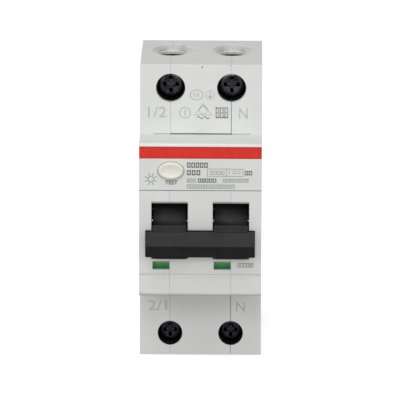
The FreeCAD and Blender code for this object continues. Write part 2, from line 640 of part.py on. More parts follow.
def terminal_screw(side, mid, end, word):
    centre = (mid, f"{end}_screw_z")
    high, low = head_depths(end)
    head = rod("y", centre, f"{end}_well_radius - head_play", forward(high, low))
    shank = rod("y", centre, "shank_radius", forward(low, "plate_front_depth + plate_play / 2"))
    slot_y = forward(f"{high} + over", f"{high} - slot_depth")
    reach, half = f"{end}_well_radius * slot_share", "slot_width / 2"
    slots = [box(about(mid, reach), slot_y, upright(f"{end}_screw_z", half)),
             box(about(mid, half), slot_y, upright(f"{end}_screw_z", reach))]
    keep(f"terminal_screw_{word}_{side}", cut(fuse(head, shank), *slots))


def clamp_cage(side, mid, end, word):
    """A threaded frame that the screw draws forward to grip the cable against the plate."""
    z = upright(f"{end}_screw_z", "cage_half_height")
    outer = box(about(mid, "cage_inner_half + cage_side"),
                forward("cage_front_depth + cage_front", "cage_back_depth - cage_back"), z)
    inner = box(about(mid, "cage_inner_half"), forward("cage_front_depth", "cage_back_depth"),
                (f"{z[0]} - over", f"{z[1]} + over"))
    thread = rod("y", (mid, f"{end}_screw_z"), "shank_radius + thread_play",
                 forward("cage_front_depth + cage_front + over", "cage_front_depth - over"))
    keep(f"clamp_cage_{word}_{side}", cut(outer, inner, thread))


def upper_plate(side, mid):
    """A plate inside the upper cage, with a foot that leads to the pole's first part."""
    x, y = about(mid, "plate_half_width"), forward("plate_front_depth", "plate_back_depth")
    upright_part = box(x, y, ("foot_bottom", "upper_screw_z + cage_half_height + plate_overhang"))
    if side == "left":
        foot = box(x, forward("-bimetal_y + foot_lap", "plate_back_depth"), ("foot_bottom", "foot_top"))
    else:
        foot = box((f"{mid} - plate_half_width", "conductor_x + conductor_radius"),
                   ("neutral_y - conductor_radius - foot_margin", "-plate_back_depth"),
                   ("foot_bottom", "foot_top"))
    keep(f"terminal_plate_line_{side}", fuse(upright_part, foot))


def lower_plate(side, mid):
    """A plate inside the lower cage that carries the fixed contact at its top."""
    x, y = about(mid, "plate_half_width"), forward("plate_front_depth", "plate_back_depth")
    plate = box(x, y, ("lower_screw_z - cage_half_height + plate_lift", "lower_plate_top"))
    pad = box(about(mid, "contact_half_width"),
              forward("plate_front_depth + pad_thickness", "plate_front_depth"),
              ("fixed_pad_top - fixed_pad_height", "fixed_pad_top"))
    keep(f"terminal_plate_load_{side}", fuse(plate, pad))


def turned(label, part):
    """Tilt a toggle piece, drawn about its own axis, to where it rests."""
    seat(part, FreeCAD.Rotation(ALONG_X, 1), 0, "toggle_y", "toggle_z")
    bind(part, "Placement.Rotation.Angle", "toggle_tilt")
    return keep(label, part)


def toggle(side, mid):
    """A drum on the toggle pin with a neck that carries the tie bar."""
    x = about(mid, "drum_width / 2")
    drum = rod("x", ("0", "0"), "drum_radius", x)
    neck = box(x, forward("neck_tip", "neck_root"), ("neck_bottom", "neck_top"))
    tongue = box(about(mid, "drum_width / 2 - tongue_inset"),
                 forward("neck_tip + tongue_length", "neck_tip - over"),
                 ("neck_bottom + tongue_inset", "neck_top - tongue_inset"))
    bore = rod("x", ("0", "0"), "toggle_pin_radius + pin_play", across(mid, "-drum_width", "drum_width"))
    well_x = across(mid, "drum_width / 2 - spring_well_depth", "drum_width / 2 + over")
    well = cut(rod("x", ("0", "0"), "spring_well_radius", well_x),
               rod("x", ("0", "0"), "drum_hub_radius", well_x))
    angle = "(crank_angle - toggle_tilt) * 1 deg"
    crank = (f"crank_radius * cos({angle})", f"crank_radius * sin({angle})")
    hole = rod("x", crank, "link_wire + link_play",
               across(mid, "-drum_width", "link_leg - link_offset + leg_play"))
    turned(f"toggle_{side}", cut(fuse(drum, neck, tongue), bore, well, hole))


def toggle_springs():
    """A coil in each drum that throws the toggles back when the breaker trips."""
    coils = []
    for mid in MODULES.values():
        span = across(mid, "drum_width / 2 - spring_well_depth + spring_side", "drum_width / 2 - spring_side")
        coils.append(coil("x", ("toggle_y", "toggle_z"), span, "toggle_spring_radius", "toggle_spring_wire",
                          "toggle_spring_turns"))
    keep("toggle_springs", gather(*coils))


def tie_bar():
    """The bar that moves both toggles, with a paddle over each neck and a recess between them."""
    back, front = "neck_tip", "neck_tip + tie_bar_thickness"
    heel = "-tie_bar_reach"
    outline = [(f"-({back})", "tie_bar_reach"), (f"-({back} + tie_bar_lip)", "tie_bar_reach"),
               (f"-({front})", "tie_bar_crest"), (f"-({front})", "-tie_bar_crest"),
               (f"-({front} - tie_bar_step)", "-tie_bar_crest"), (f"-({back} + tie_bar_heel)", heel),
               (f"-({back})", heel)]
    bar = prism("x", outline, ("-tie_bar_width / 2", "tie_bar_width / 2"), name="bar")
    pieces, sockets = [bar], []
    for mid in MODULES.values():
        paddle = [(f"-({back})", "tie_bar_crest"), (f"-({back} + tie_bar_lip * 2)", "tie_bar_crest"),
                  (f"-({back} + tie_bar_lip / 2)", "paddle_top"), (f"-({back})", "paddle_top")]
        pieces.append(prism("x", paddle, about(mid, "drum_width / 2"), name="paddle"))
        x = about(mid, "drum_width / 2 - tongue_inset + socket_play")
        z = ("neck_bottom + tongue_inset - socket_play", "neck_top - tongue_inset + socket_play")
        sockets.append(box(x, forward("neck_tip + tongue_length + socket_play", "neck_tip - over"), z))
    recess = box(("-tie_recess_half", "tie_recess_half"),
                 forward(f"{front} + over", f"{front} - tie_bar_step - tie_recess_depth"),
                 (f"{heel} - over", "-tie_bar_crest"))
    turned("toggle_tie_bar", cut(fuse(*pieces), recess, *sockets))


def pins():
    span = ("-inner_x - pin_socket", "inner_x + pin_socket")
    keep("toggle_pin", rod("x", ("toggle_y", "toggle_z"), "toggle_pin_radius", span))
    lever = ("-inner_x - pin_socket", "wall_x - pin_socket")
    keep("mechanism_pins", fuse(rod("x", ("carrier_y", "carrier_z"), "carrier_pin_radius", span),
                                rod("x", ("flag_y", "flag_z"), "flag_pin_radius", span),
                                rod("x", ("lever_y", "lever_z"), "lever_pin_radius", lever)))


def drive_link(side, mid):
    """A bent wire from the toggle's crank hole to the carrier's eye."""
    web = f"{mid} - link_offset"
    inner = f"{mid} - link_offset + link_leg"
    wire = rod("z", (web, "0"), "link_wire", ("-link_length", "0"))
    legs = [rod("x", ("0", place), "link_wire", (web, inner)) for place in ("0", "-link_length")]
    bends = [ball((web, "0", place), "link_wire") for place in ("0", "-link_length")]
    link = fuse(wire, *legs, *bends)
    seat(link, FreeCAD.Rotation(ALONG_X, 1), 0, "crank_y", "crank_z")
    bind(link, "Placement.Rotation.Angle", "atan2(link_run; link_drop)")
    keep(f"drive_link_{side}", link)


def contact_carrier(side, mid):
    """A lever on the carrier pin: a crank plate for the link and a finger behind the contact arm."""
    hub_centre, eye_centre = ("carrier_y", "carrier_z"), ("eye_y", "eye_z")
    crank_x = across(mid, "carrier_left", "carrier_left + crank_plate")
    hub = rod("x", hub_centre, "carrier_hub_radius", across(mid, "carrier_left", "carrier_right"))
    plate = [strap(crank_x, eye_centre, hub_centre, "eye_radius"),
             rod("x", eye_centre, "eye_radius", crank_x)]
    finger = box(about(mid, "contact_half_width"), ("carrier_y - finger_thickness", "carrier_y"),
                 ("carrier_z - finger_length", "carrier_z"))
    bore = rod("x", hub_centre, "carrier_pin_radius + pin_play",
               across(mid, "carrier_left - over", "carrier_right + over"))
    eye = rod("x", eye_centre, "link_wire + eye_play",
              across(mid, "carrier_left - over", "carrier_left + crank_plate + over"))
    keep(f"contact_carrier_{side}", cut(fuse(hub, finger, *plate), bore, eye))


def moving_contact(side, mid):
    """A copper arm against the finger with a silver tip at its end."""
    x = about(mid, "contact_half_width")
    arm_back = "carrier_y + arm_thickness"
    arm = box(x, ("carrier_y", arm_back),
              ("carrier_z - finger_length", "carrier_z - carrier_hub_radius - strip_gap"))
    tip = box(x, (arm_back, f"{arm_back} + tip_thickness"),
              ("carrier_z - tip_top - tip_length", "carrier_z - tip_top"))
    keep(f"moving_contact_{side}", fuse(arm, tip))


def trip_lever():
    """A rocker: the bimetal pushes its lower arm, the coil's plunger its upper one."""
    x = ("lever_front", "lever_end")
    half = "lever_thickness / 2"
    hub = rod("x", ("lever_y", "lever_z"), "lever_hub_radius", x)
    lower = box(("lever_front", "lever_front + lever_foot_width"), upright("lever_y", half),
                ("lever_foot", "lever_z"))
    upper = box(("lever_end - lever_head_width", "lever_end"), upright("lever_y", half),
                ("lever_z", "lever_head"))
    bore = rod("x", ("lever_y", "lever_z"), "lever_pin_radius + pin_play",
               ("lever_front - over", "lever_end + over"))
    keep("trip_lever", cut(fuse(hub, lower, upper), bore))


def bimetal():
    x = ("bimetal_left", "bimetal_left + bimetal_width")
    y = ("bimetal_y", "bimetal_y + bimetal_thickness")
    middle = ("bimetal_left + bimetal_width / 2", "adjuster_z")
    strip = box(x, y, ("bimetal_bottom", "foot_bottom"))
    hole = rod("y", middle, "adjuster_radius + pin_play",
               ("bimetal_y - over", "bimetal_y + bimetal_thickness + over"))
    keep("bimetal_strip", cut(strip, hole))
    shank = rod("y", middle, "adjuster_radius", ("adjuster_tip_y - adjuster_length", "adjuster_tip_y"))
    head_y = ("adjuster_tip_y - adjuster_length - adjuster_head_height", "adjuster_tip_y - adjuster_length")
    keep("calibrating_screw", fuse(shank, rod("y", middle, "adjuster_head", head_y)))


def trip_coil():
    mid, centre = MODULES["left"], (MODULES["left"], "coil_z")
    tube_part = rod("y", centre, "bobbin_tube", ("bobbin_front_y", "bobbin_back_y"))
    front = rod("y", centre, "bobbin_flange", ("bobbin_front_y", "bobbin_front_y + flange_thickness"))
    back = rod("y", centre, "bobbin_flange", ("bobbin_back_y - flange_thickness", "bobbin_back_y"))
    bore = rod("y", centre, "bobbin_bore", ("bobbin_front_y - over", "bobbin_back_y + over"))
    keep("coil_bobbin", cut(fuse(tube_part, front, back), bore))
    span = ("bobbin_front_y + flange_thickness + winding_gap",
            "bobbin_back_y - flange_thickness - winding_gap")
    keep("coil_winding", coil("y", centre, span, "winding_radius", "winding_wire", "winding_turns"))
    x = about(mid, "yoke_half_width")
    plates = [box(x, (start, f"{start} + yoke_thickness"), ("yoke_bottom", "yoke_top"))
              for start in ("yoke_front_y", "yoke_back_y")]
    base = box(x, ("yoke_front_y", "yoke_back_y + yoke_thickness"),
               ("yoke_bottom", "yoke_bottom + yoke_thickness"))
    pole = rod("y", centre, "plunger_radius", ("plunger_front_y + plunger_length + face_play", "yoke_back_y"))
    guide = rod("y", centre, "rod_radius + rod_play",
                ("yoke_front_y - over", "yoke_front_y + yoke_thickness + over"))
    keep("coil_yoke", cut(fuse(*plates, base, pole), guide))
    slug = rod("y", centre, "plunger_radius", ("plunger_front_y", "plunger_front_y + plunger_length"))
    keep("coil_plunger", fuse(slug, rod("y", centre, "rod_radius", ("rod_tip_y", "plunger_front_y"))))
    keep("plunger_spring",
         coil("y", centre, ("yoke_front_y + yoke_thickness + spring_gap", "plunger_front_y - spring_gap"),
                                "return_spring_radius", "return_spring_wire", "return_spring_turns"))


def arc_chute():
    """A stack of steel plates with V notches, held between two fibre cheeks."""
    mid = MODULES["left"]
    top = "chute_bottom + chute_height"
    outline = [(f"{mid} + chute_left", "chute_bottom"), (f"{mid} + chute_right", "chute_bottom"),
               (f"{mid} + chute_right", top), (f"{mid} + chute_notch / 2", top),
               (mid, f"{top} - chute_notch"), (f"{mid} - chute_notch / 2", top), (f"{mid} + chute_left", top)]
    plates = []
    for number in range(int(value("chute_count"))):
        start = f"chute_front_y + {number} * chute_pitch"
        plates.append(prism("y", outline, (start, f"{start} + chute_plate"), name="chute_plate"))
    keep("arc_chute_plates", fuse(*plates))
    y = ("chute_front_y - cheek_overhang", "chute_front_y + chute_count * chute_pitch")
    left = box(across(mid, "chute_left - cheek", "chute_left"), y, ("chute_bottom", top))
    right = box(across(mid, "chute_right", "chute_right + cheek"), y, ("chute_bottom", top))
    keep("arc_chute_cheeks", fuse(left, right))


def ring_winding():
    """Loops of wire round the ring core, patterned about its axis."""
    body = doc.addObject("PartDesign::Body", "ring_loops")
    body.AllowCompound = True
    sketch = body.newObject("Sketcher::SketchObject", "ring_loop_outline")
    sketch.AttachmentSupport = (origin_feature(body, "XZ_Plane"), [""])
    sketch.MapMode = "FlatFace"
    half, low, high = "ring_half", "ring_inner - ring_play - ring_wire", "ring_outer + ring_play + ring_wire"
    draw_outline(sketch, [(f"-({half})", low), (half, low), (half, high), (f"-({half})", high)])
    pad = body.newObject("PartDesign::Pad", "ring_loop")
    pad.Profile = sketch
    pad.Midplane = True
    bind(pad, "Length", "2 * ring_wire")
    hole = body.newObject("Sketcher::SketchObject", "ring_gap_outline")
    hole.AttachmentSupport = (origin_feature(body, "XZ_Plane"), [""])
    hole.MapMode = "FlatFace"
    half, low, high = "ring_length / 2 + ring_play", "ring_inner - ring_play", "ring_outer + ring_play"
    draw_outline(hole, [(f"-({half})", low), (half, low), (half, high), (f"-({half})", high)])
    pocket = body.newObject("PartDesign::Pocket", "ring_gap")
    pocket.Profile = hole
    pocket.Midplane = True
    bind(pocket, "Length", "4 * ring_wire")
    pattern = body.newObject("PartDesign::PolarPattern", "ring_pattern")
    pattern.Originals = [pad, pocket]
    pattern.Axis = (origin_feature(body, "X_Axis"), [""])
    pattern.Angle = 360
    bind(pattern, "Occurrences", "ring_turns")
    body.Tip = pattern
    seat(body, FreeCAD.Rotation(), "ring_x", "ring_y", "ring_z")
    keep("transformer_winding", body)


def transformer():
    keep("transformer_core", tube("x", ("ring_y", "ring_z"), ("ring_inner", "ring_outer"),
                                  upright("ring_x", "ring_length / 2")))
    ring_winding()


def conductors():
    """The two mains conductors that pass through the ring."""
    radius = "conductor_radius"
    across_ring = rod("x", ("phase_y", "ring_z"), radius, ("phase_start_x", "conductor_x"))
    down = rod("z", ("conductor_x", "phase_y"), radius, ("phase_end_z", "ring_z"))
    keep("phase_conductor", fuse(across_ring, ball(("conductor_x", "phase_y", "ring_z"), radius), down))
    fall = rod("z", ("conductor_x", "neutral_y"), radius, ("ring_z", "foot_bottom"))
    through = rod("x", ("neutral_y", "ring_z"), radius, ("neutral_turn_x", "conductor_x"))
    rest = rod("z", ("neutral_turn_x", "neutral_y"), radius, ("neutral_end_z", "ring_z"))
    bends = [ball((x, "neutral_y", "ring_z"), radius) for x in ("conductor_x", "neutral_turn_x")]
    keep("neutral_conductor", fuse(fall, through, rest, *bends))


def trip_relay():
    centre = ("relay_pin_x", "relay_pin_y")
    block = box(("relay_left", "relay_left + relay_width"), ("-inner_shoulder + face_play", "relay_back_y"),
                ("relay_bottom", "relay_bottom + relay_height"))
    top = "relay_pin_tip + relay_pin_length"
    bore = rod("z", centre, "relay_pin_radius + pin_play", ("relay_bottom - over", f"{top} + relay_bore_end"))
    keep("trip_relay_case", cut(block, bore))
    keep("relay_plunger", rod("z", centre, "relay_pin_radius", ("relay_pin_tip", top)))


def board():
    face = "board_x + board_thickness"
    y_mid = "board_front_y + board_depth / 2"
    keep("circuit_board", box(("board_x", face), ("board_front_y", "board_front_y + board_depth"),
                              ("board_bottom", "board_bottom + board_height")))
    can = rod("x", (y_mid, "board_bottom + board_height / 2"), "capacitor_radius",
              (face, f"{face} + capacitor_height"))
    chips = [box((face, f"{face} + chip_height"), upright(y_mid, "chip_width / 2"),
                 upright(place, "chip_width / 2"))
             for place in ("board_bottom + post_inset * 2",
                           "board_bottom + board_height - post_inset * 2 + chip_shift")]
    keep("board_components", fuse(can, *chips))


def test_button():
    """A push button with a flange behind the cap and a stem that meets the contact blade."""
    flange_front = "cap_inner - button_gap"
    flange_back = "cap_inner - button_gap - button_flange_height"
    face = oval("button_half_width", "button_half_height", forward("nose_depth + button_proud", flange_front))
    flange = oval("button_half_width + button_flange", "button_half_height + button_flange",
                  forward(flange_front, flange_back))
    centre = ("button_x", "button_z")
    stem = rod("y", centre, "button_stem", forward(flange_back, "stem_tip_depth"))
    keep("test_button", fuse(face, flange, stem))
    span = forward(f"{flange_back} - spring_gap", "bracket_depth + spring_gap")
    keep("test_button_spring",
         coil("y", centre, span, "button_spring_radius", "button_spring_wire", "button_spring_turns"))
    plate = box(("bracket_left", "bracket_right"),
                forward("bracket_depth", "bracket_depth - bracket_thickness"),
                upright("button_z", "bracket_half_height"))
    hole = rod("y", centre, "button_stem + stem_play",
               forward("bracket_depth + over", "bracket_depth - bracket_thickness - over"))
    keep("test_bracket", cut(plate, hole))


def test_circuit():
    """The leaf that the button bends and the resistor that lets the test current through."""
    z = upright("button_z", "blade_width / 2")
    leaf = box(("blade_left", "button_x + blade_end"),
               forward("blade_depth", "blade_depth - blade_thickness"), z)
    foot = box(("blade_left", "blade_left + blade_foot"), forward("blade_depth", "shoulder_depth"), z)
    keep("test_contact_blade", fuse(leaf, foot))
    x = upright("resistor_x", "resistor_half_length")
    barrel = rod("x", ("resistor_y", "resistor_z"), "resistor_radius", x)
    ends = (f"{x[0]} - lead_overhang", f"{x[1]} + lead_overhang")
    wire = rod("x", ("resistor_y", "resistor_z"), "lead_radius", ends)
    legs = [rod("y", (end, "resistor_z"), "lead_radius", ("resistor_y", "-shoulder_depth")) for end in ends]
    bends = [ball((end, "resistor_y", "resistor_z"), "lead_radius") for end in ends]
    keep("test_resistor", fuse(barrel, wire, *legs, *bends))


def flag_corner(angle):
    reach = "2 * flag_radius"
    return (f"flag_y - {reach} * cos({angle} * 1 deg)", f"flag_z + {reach} * sin({angle} * 1 deg)")


def indicator_flag(side, mid):
    """A sector that shows one colour behind its window with the toggle off and the other with it on."""
    x = across(mid, "flag_left", "flag_left + flag_width")
    centre = ("flag_y", "flag_z")
    ring = tube("x", centre, ("flag_radius - flag_skin", "flag_radius"), x)
    wedge = prism("x", [centre, flag_corner("flag_low"), flag_corner("flag_high")], x, name="flag_wedge")
    spoke_x = across(mid, "flag_left", "flag_left + flag_spoke")
    web = common(rod("x", centre, "flag_radius - flag_skin / 2", spoke_x),
                 prism("x", [centre, flag_corner("flag_low"), flag_corner("flag_high")], spoke_x,
                       name="web_wedge"))
    hub = rod("x", centre, "flag_hub_radius", x)
    bore = rod("x", centre, "flag_pin_radius + pin_play",
               across(mid, "flag_left - over", "flag_left + flag_width + over"))
    keep(f"indicator_flag_{side}", cut(fuse(common(ring, wedge), web, hub), bore))


def rail_clip(side, mid):
    """A sliding clip whose nose hooks behind the rail's lower edge."""
    z = ("clip_bottom", "clip_nose")
    nose = [("clip_front_y", "clip_bottom"), ("clip_step_y", "clip_bottom"), ("clip_step_y", "clip_nose"),
            ("clip_front_y + clip_nose_bevel", "clip_nose"), ("clip_front_y", "clip_nose - clip_nose_bevel")]
    wide = prism("x", nose, about(mid, "clip_wide_half"), name="clip_slide")
    narrow = box(about(mid, "clip_narrow_half"), ("clip_step_y", "clip_back_y"),
                 (z[0], "clip_nose - clip_hook"))
    window = box(about(mid, "clip_window_half"), ("clip_front_y - over", "clip_back_y + over"),
                 ("clip_window_bottom", "clip_window_top"))
    slot = box(about(mid, "clip_narrow_half - pry_inset"), ("clip_front_y - over", "clip_back_y + over"),
               ("clip_bottom + pry_bottom", "clip_bottom + pry_bottom + pry_height"))
    keep(f"rail_clip_{side}", cut(fuse(wide, narrow), window, slot))
    centre = (mid, "(clip_channel_y + clip_step_y + clip_play) / 2")
    span = ("peg_bottom + peg_height + spring_gap", "clip_window_top - spring_gap")
    keep(f"clip_spring_{side}",
         coil("z", centre, span, "clip_spring_radius", "clip_spring_wire", "clip_spring_turns"))


def build():
    fill_sheet()
    case_parts()
    case_rivets()
    front_cap()
    for side, mid in MODULES.items():
        for word, end in ENDS.items():
            terminal_screw(side, mid, end, word)
            clamp_cage(side, mid, end, word)
        upper_plate(side, mid)
        lower_plate(side, mid)
        toggle(side, mid)
        drive_link(side, mid)
        contact_carrier(side, mid)
        moving_contact(side, mid)
        indicator_flag(side, mid)
        rail_clip(side, mid)
    toggle_springs()
    tie_bar()
    pins()
    trip_lever()
    bimetal()
    trip_coil()
    arc_chute()
    transformer()
    conductors()
    trip_relay()
    board()
    test_button()
    test_circuit()


def check():
    """Stop if anything failed to compute, a pocket cut nothing, or a piece isn't a sound solid."""
    doc.recompute()
    for thing in doc.Objects:
        if "Invalid" in thing.State or "Error" in thing.State:
            raise RuntimeError(f"{thing.Label} did not compute")
        if thing.TypeId == "PartDesign::Pocket" and thing.Shape.Volume >= thing.BaseFeature.Shape.Volume:
            raise RuntimeError(f"{thing.Label} cut nothing")
    for trimmed in doc.findObjects("Part::Cut"):
        if trimmed.Shape.Volume >= trimmed.Base.Shape.Volume:
            raise RuntimeError(f"{trimmed.Label} removed nothing")
    for part in kept:
        if part.Shape.isNull() or not part.Shape.isValid() or part.Shape.Volume <= 0:
            raise RuntimeError(f"{part.Label} is not a sound solid")


def write():
    os.makedirs("parts", exist_ok=True)
    for part in kept:
        part.Shape.exportStep(f"parts/{part.Label}.step")


build()
check()
write()
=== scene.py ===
import json
import math

import bmesh
import bpy
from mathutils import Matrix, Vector


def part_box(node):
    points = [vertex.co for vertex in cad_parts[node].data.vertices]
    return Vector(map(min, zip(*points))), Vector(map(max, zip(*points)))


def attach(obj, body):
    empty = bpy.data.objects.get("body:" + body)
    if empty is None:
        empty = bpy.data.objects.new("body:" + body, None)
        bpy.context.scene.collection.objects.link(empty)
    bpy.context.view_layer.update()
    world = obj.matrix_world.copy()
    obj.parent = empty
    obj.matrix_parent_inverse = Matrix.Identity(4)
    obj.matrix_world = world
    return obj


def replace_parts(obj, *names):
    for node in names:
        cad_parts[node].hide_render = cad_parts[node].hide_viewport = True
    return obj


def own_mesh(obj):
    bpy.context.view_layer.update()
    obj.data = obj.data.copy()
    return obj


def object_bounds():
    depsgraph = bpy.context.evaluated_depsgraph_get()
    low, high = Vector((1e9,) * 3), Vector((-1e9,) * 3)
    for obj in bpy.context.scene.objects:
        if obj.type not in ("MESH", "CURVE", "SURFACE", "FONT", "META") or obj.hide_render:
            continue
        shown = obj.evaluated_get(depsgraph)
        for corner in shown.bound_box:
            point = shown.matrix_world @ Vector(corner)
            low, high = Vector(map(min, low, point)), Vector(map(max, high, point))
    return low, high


# Looks of a two-module residual current breaker. Metres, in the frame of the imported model:
# X across the modules, the front faces -Y, Z is up.

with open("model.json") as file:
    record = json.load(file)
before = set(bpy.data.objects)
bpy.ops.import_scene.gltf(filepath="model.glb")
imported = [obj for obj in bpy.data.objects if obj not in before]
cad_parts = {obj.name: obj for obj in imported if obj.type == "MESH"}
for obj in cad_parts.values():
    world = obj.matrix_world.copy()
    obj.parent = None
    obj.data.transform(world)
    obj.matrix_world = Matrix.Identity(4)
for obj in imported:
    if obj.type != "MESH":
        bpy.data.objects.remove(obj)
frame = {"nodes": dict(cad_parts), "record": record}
CAD_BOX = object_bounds()
NODES = frame["nodes"]
MM = 0.001
FULL_TURN = 2 * math.pi


# ---------------------------------------------------------------- finishes


def linear(red, green, blue):
    """A paint colour given in display steps of 0 to 255, as the light it sends back."""
    steps = [step / 255 for step in (red, green, blue)]
    return tuple(s / 12.92 if s <= 0.04045 else ((s + 0.055) / 1.055) ** 2.4 for s in steps) + (1.0,)


class Value:
    """A number, colour or direction that a finish works out over the surface."""

    def __init__(self, finish, socket):
        self.finish, self.socket = finish, socket

    def _math(self, operation, first, second):
        return self.finish.node("ShaderNodeMath", {"operation": operation}, {0: first, 1: second})

    def __add__(self, other):
        return self._math("ADD", self, other)

    def __radd__(self, other):
        return self._math("ADD", other, self)

    def __sub__(self, other):
        return self._math("SUBTRACT", self, other)

    def __rsub__(self, other):
        return self._math("SUBTRACT", other, self)

    def __mul__(self, other):
        return self._math("MULTIPLY", self, other)

    def __rmul__(self, other):
        return self._math("MULTIPLY", other, self)

    def __truediv__(self, other):
        return self._math("DIVIDE", self, other)

    def __rtruediv__(self, other):
        return self._math("DIVIDE", other, self)

    def __gt__(self, other):
        return self._math("GREATER_THAN", self, other)

    def __lt__(self, other):
        return self._math("LESS_THAN", self, other)


class Finish:
    """A material and the nodes that make it."""

    def __init__(self, name):
        self.material = bpy.data.materials.new(name)
        self.material.use_nodes = True
        self.tree = self.material.node_tree
        self.tree.nodes.clear()

    def node(self, kind, settings=None, sockets=None, output=0):
        made = self.tree.nodes.new(kind)
        for key, setting in (settings or {}).items():
            setattr(made, key, setting)
        for key, given in (sockets or {}).items():
            if isinstance(given, Value):
                self.tree.links.new(given.socket, made.inputs[key])
            else:
                made.inputs[key].default_value = given
        return Value(self, made.outputs[output]) if made.outputs else None

    def place(self):
        return self.node("ShaderNodeTexCoord", output="Object")

    def axis(self, letter):
        return self.node("ShaderNodeSeparateXYZ", None, {0: self.place()}, letter)

    def stretched(self, *factors):
        return self.node("ShaderNodeVectorMath", {"operation": "MULTIPLY"}, {0: self.place(), 1: factors})

    def noise(self, size, detail=2.0, roughness=0.5, at=None):
        sockets = {"Vector": at or self.place(), "Scale": 1 / size, "Detail": detail, "Roughness": roughness}
        return self.node("ShaderNodeTexNoise", None, sockets)

    def pits(self, size, at=None):
        return self.node("ShaderNodeTexVoronoi", {"feature": "F1"},
                         {"Vector": at or self.place(), "Scale": 1 / size}, "Distance")

    def spread(self, value, low, high, to_low=0.0, to_high=1.0):
        """The value taken from one range to another, and held there."""
        sockets = {"Value": value, "From Min": low, "From Max": high, "To Min": to_low, "To Max": to_high}
        return self.node("ShaderNodeMapRange", {"clamp": True}, sockets)

    def mix(self, share, first, second):
        return self.node("ShaderNodeMix", {"data_type": "RGBA"}, {0: share, 6: first, 7: second}, 2)

    def relief(self, height, depth, strength=1.0):
        return self.node("ShaderNodeBump", None, {"Strength": strength, "Distance": depth, "Height": height})

    def surface(self, **sockets):
        names = {key.replace("_", " ").title().replace("Ior", "IOR"): given for key, given in sockets.items()}
        shader = self.node("ShaderNodeBsdfPrincipled", None, names)
        self.node("ShaderNodeOutputMaterial", None, {"Surface": shader})
        return self.material


def moulded(name, colour, shade, roughness, grain=0.16 * MM, depth=0.006 * MM, gloss_share=0.5):
    """Injection-moulded plastic: a fine spark-eroded grain, slow clouding and slightly uneven gloss."""
    finish = Finish(name)
    clouds = finish.noise(7 * MM, 3.0)
    fine = finish.noise(grain, 3.0, 0.6)
    base = finish.mix(finish.spread(clouds * 0.6 + fine * 0.4, 0.38, 0.62), shade, colour)
    gloss = finish.spread(finish.noise(2.2 * MM, 4.0), 0.3, 0.7, roughness - 0.05, roughness + 0.06)
    return finish.surface(base_color=base, roughness=gloss, specular_ior_level=gloss_share,
                          normal=finish.relief(fine, depth))


def housing_grey():
    return moulded("housing_grey", linear(207, 208, 205), linear(203, 204, 201), 0.46)


def toggle_black():
    return moulded("toggle_black", linear(24, 24, 25), linear(17, 17, 18), 0.5, 0.2 * MM, 0.008 * MM,
                   gloss_share=0.3)


def button_ivory():
    return moulded("button_ivory", linear(214, 212, 200), linear(206, 204, 190), 0.34, 0.12 * MM, 0.003 * MM)


def mechanism_plastic():
    return moulded("mechanism_plastic", linear(64, 62, 60), linear(52, 50, 48), 0.5)


def bobbin_plastic():
    return moulded("bobbin_plastic", linear(196, 187, 160), linear(182, 172, 142), 0.5)


def relay_plastic():
    return moulded("relay_plastic", linear(34, 40, 56), linear(26, 31, 44), 0.36)


def component_black():
    return moulded("component_black", linear(30, 30, 31), linear(22, 22, 23), 0.42, 0.1 * MM)


def clip_plastic():
    return moulded("clip_plastic", linear(60, 61, 63), linear(50, 51, 53), 0.44)


def liner_black():
    return moulded("liner_black", linear(20, 20, 21), linear(14, 14, 15), 0.5, 0.12 * MM, gloss_share=0.3)


def band_red():
    """Glossy printed band: full red with painted shade along its long edges, where its joints with the cap
    fall into shadow, and a slight orange peel.
    """
    finish = Finish("band_red")
    low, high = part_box("front_band")
    middle, half = (low.z + high.z) / 2, (high.z - low.z) / 2
    away = finish.node("ShaderNodeMath", {"operation": "ABSOLUTE"}, {0: finish.axis("Z") - middle})
    # Painted shade: the red darkens towards the band's long edges, standing in for the shade in the joints
    # above and below it.
    painted_edge_shade = finish.spread(away, half - 0.5 * MM, half - 0.1 * MM)
    clouds = finish.spread(finish.noise(1.6 * MM, 3.0), 0.35, 0.65)
    body = finish.mix(clouds, linear(200, 33, 16), linear(210, 40, 21))
    base = finish.mix(painted_edge_shade * 0.75, body, linear(172, 30, 20))
    peel = finish.noise(0.5 * MM, 2.0)
    return finish.surface(base_color=base, roughness=finish.spread(peel, 0.3, 0.7, 0.4, 0.5),
                          specular_ior_level=0.25, normal=finish.relief(peel, 0.004 * MM))


def flag_green():
    """Two-tone flag: green faces the window when the circuit is live and red turns into it when it is off."""
    finish = Finish("flag_green")
    turn = math.radians(-14.5)
    pivot_y, pivot_z = -50.6 * MM, -13.3 * MM
    above = (finish.axis("Z") - pivot_z) * math.cos(turn) + (finish.axis("Y") - pivot_y) * math.sin(turn)
    cloud = finish.spread(finish.noise(1.1 * MM, 3.0), 0.35, 0.65)
    green = finish.mix(cloud, linear(34, 116, 54), linear(46, 134, 66))
    red = finish.mix(cloud, linear(180, 34, 26), linear(196, 42, 32))
    base = finish.mix(finish.spread(above, -0.17 * MM, -0.07 * MM), red, green)
    return finish.surface(base_color=base, roughness=finish.spread(cloud, 0, 1, 0.32, 0.42),
                          normal=finish.relief(finish.noise(0.15 * MM), 0.003 * MM))


def metal(name, colour, dull, roughness, grain=(1.0, 1.0, 1.0), size=0.3 * MM, depth=0.003 * MM, stain=None):
    """Bare or plated metal with a drawn grain, uneven gloss and slightly darker stains."""
    finish = Finish(name)
    lines = finish.noise(size, 4.0, 0.65, finish.stretched(*grain))
    stains = finish.spread(finish.noise(1.7 * MM, 4.0, 0.6), 0.42, 0.68)
    base = finish.mix(stains, finish.mix(lines, dull, colour), stain or dull)
    rough = finish.spread(lines * 0.5 + stains * 0.5, 0.2, 0.8, roughness - 0.08, roughness + 0.14)
    return finish.surface(base_color=base, metallic=1.0, roughness=rough, normal=finish.relief(lines, depth))


def rivet_steel():
    return metal("rivet_steel", linear(206, 206, 204), linear(176, 176, 175), 0.3, size=0.25 * MM)


def screw_zinc():
    return metal("screw_zinc", linear(62, 62, 65), linear(36, 36, 39), 0.3, stain=linear(24, 24, 27))


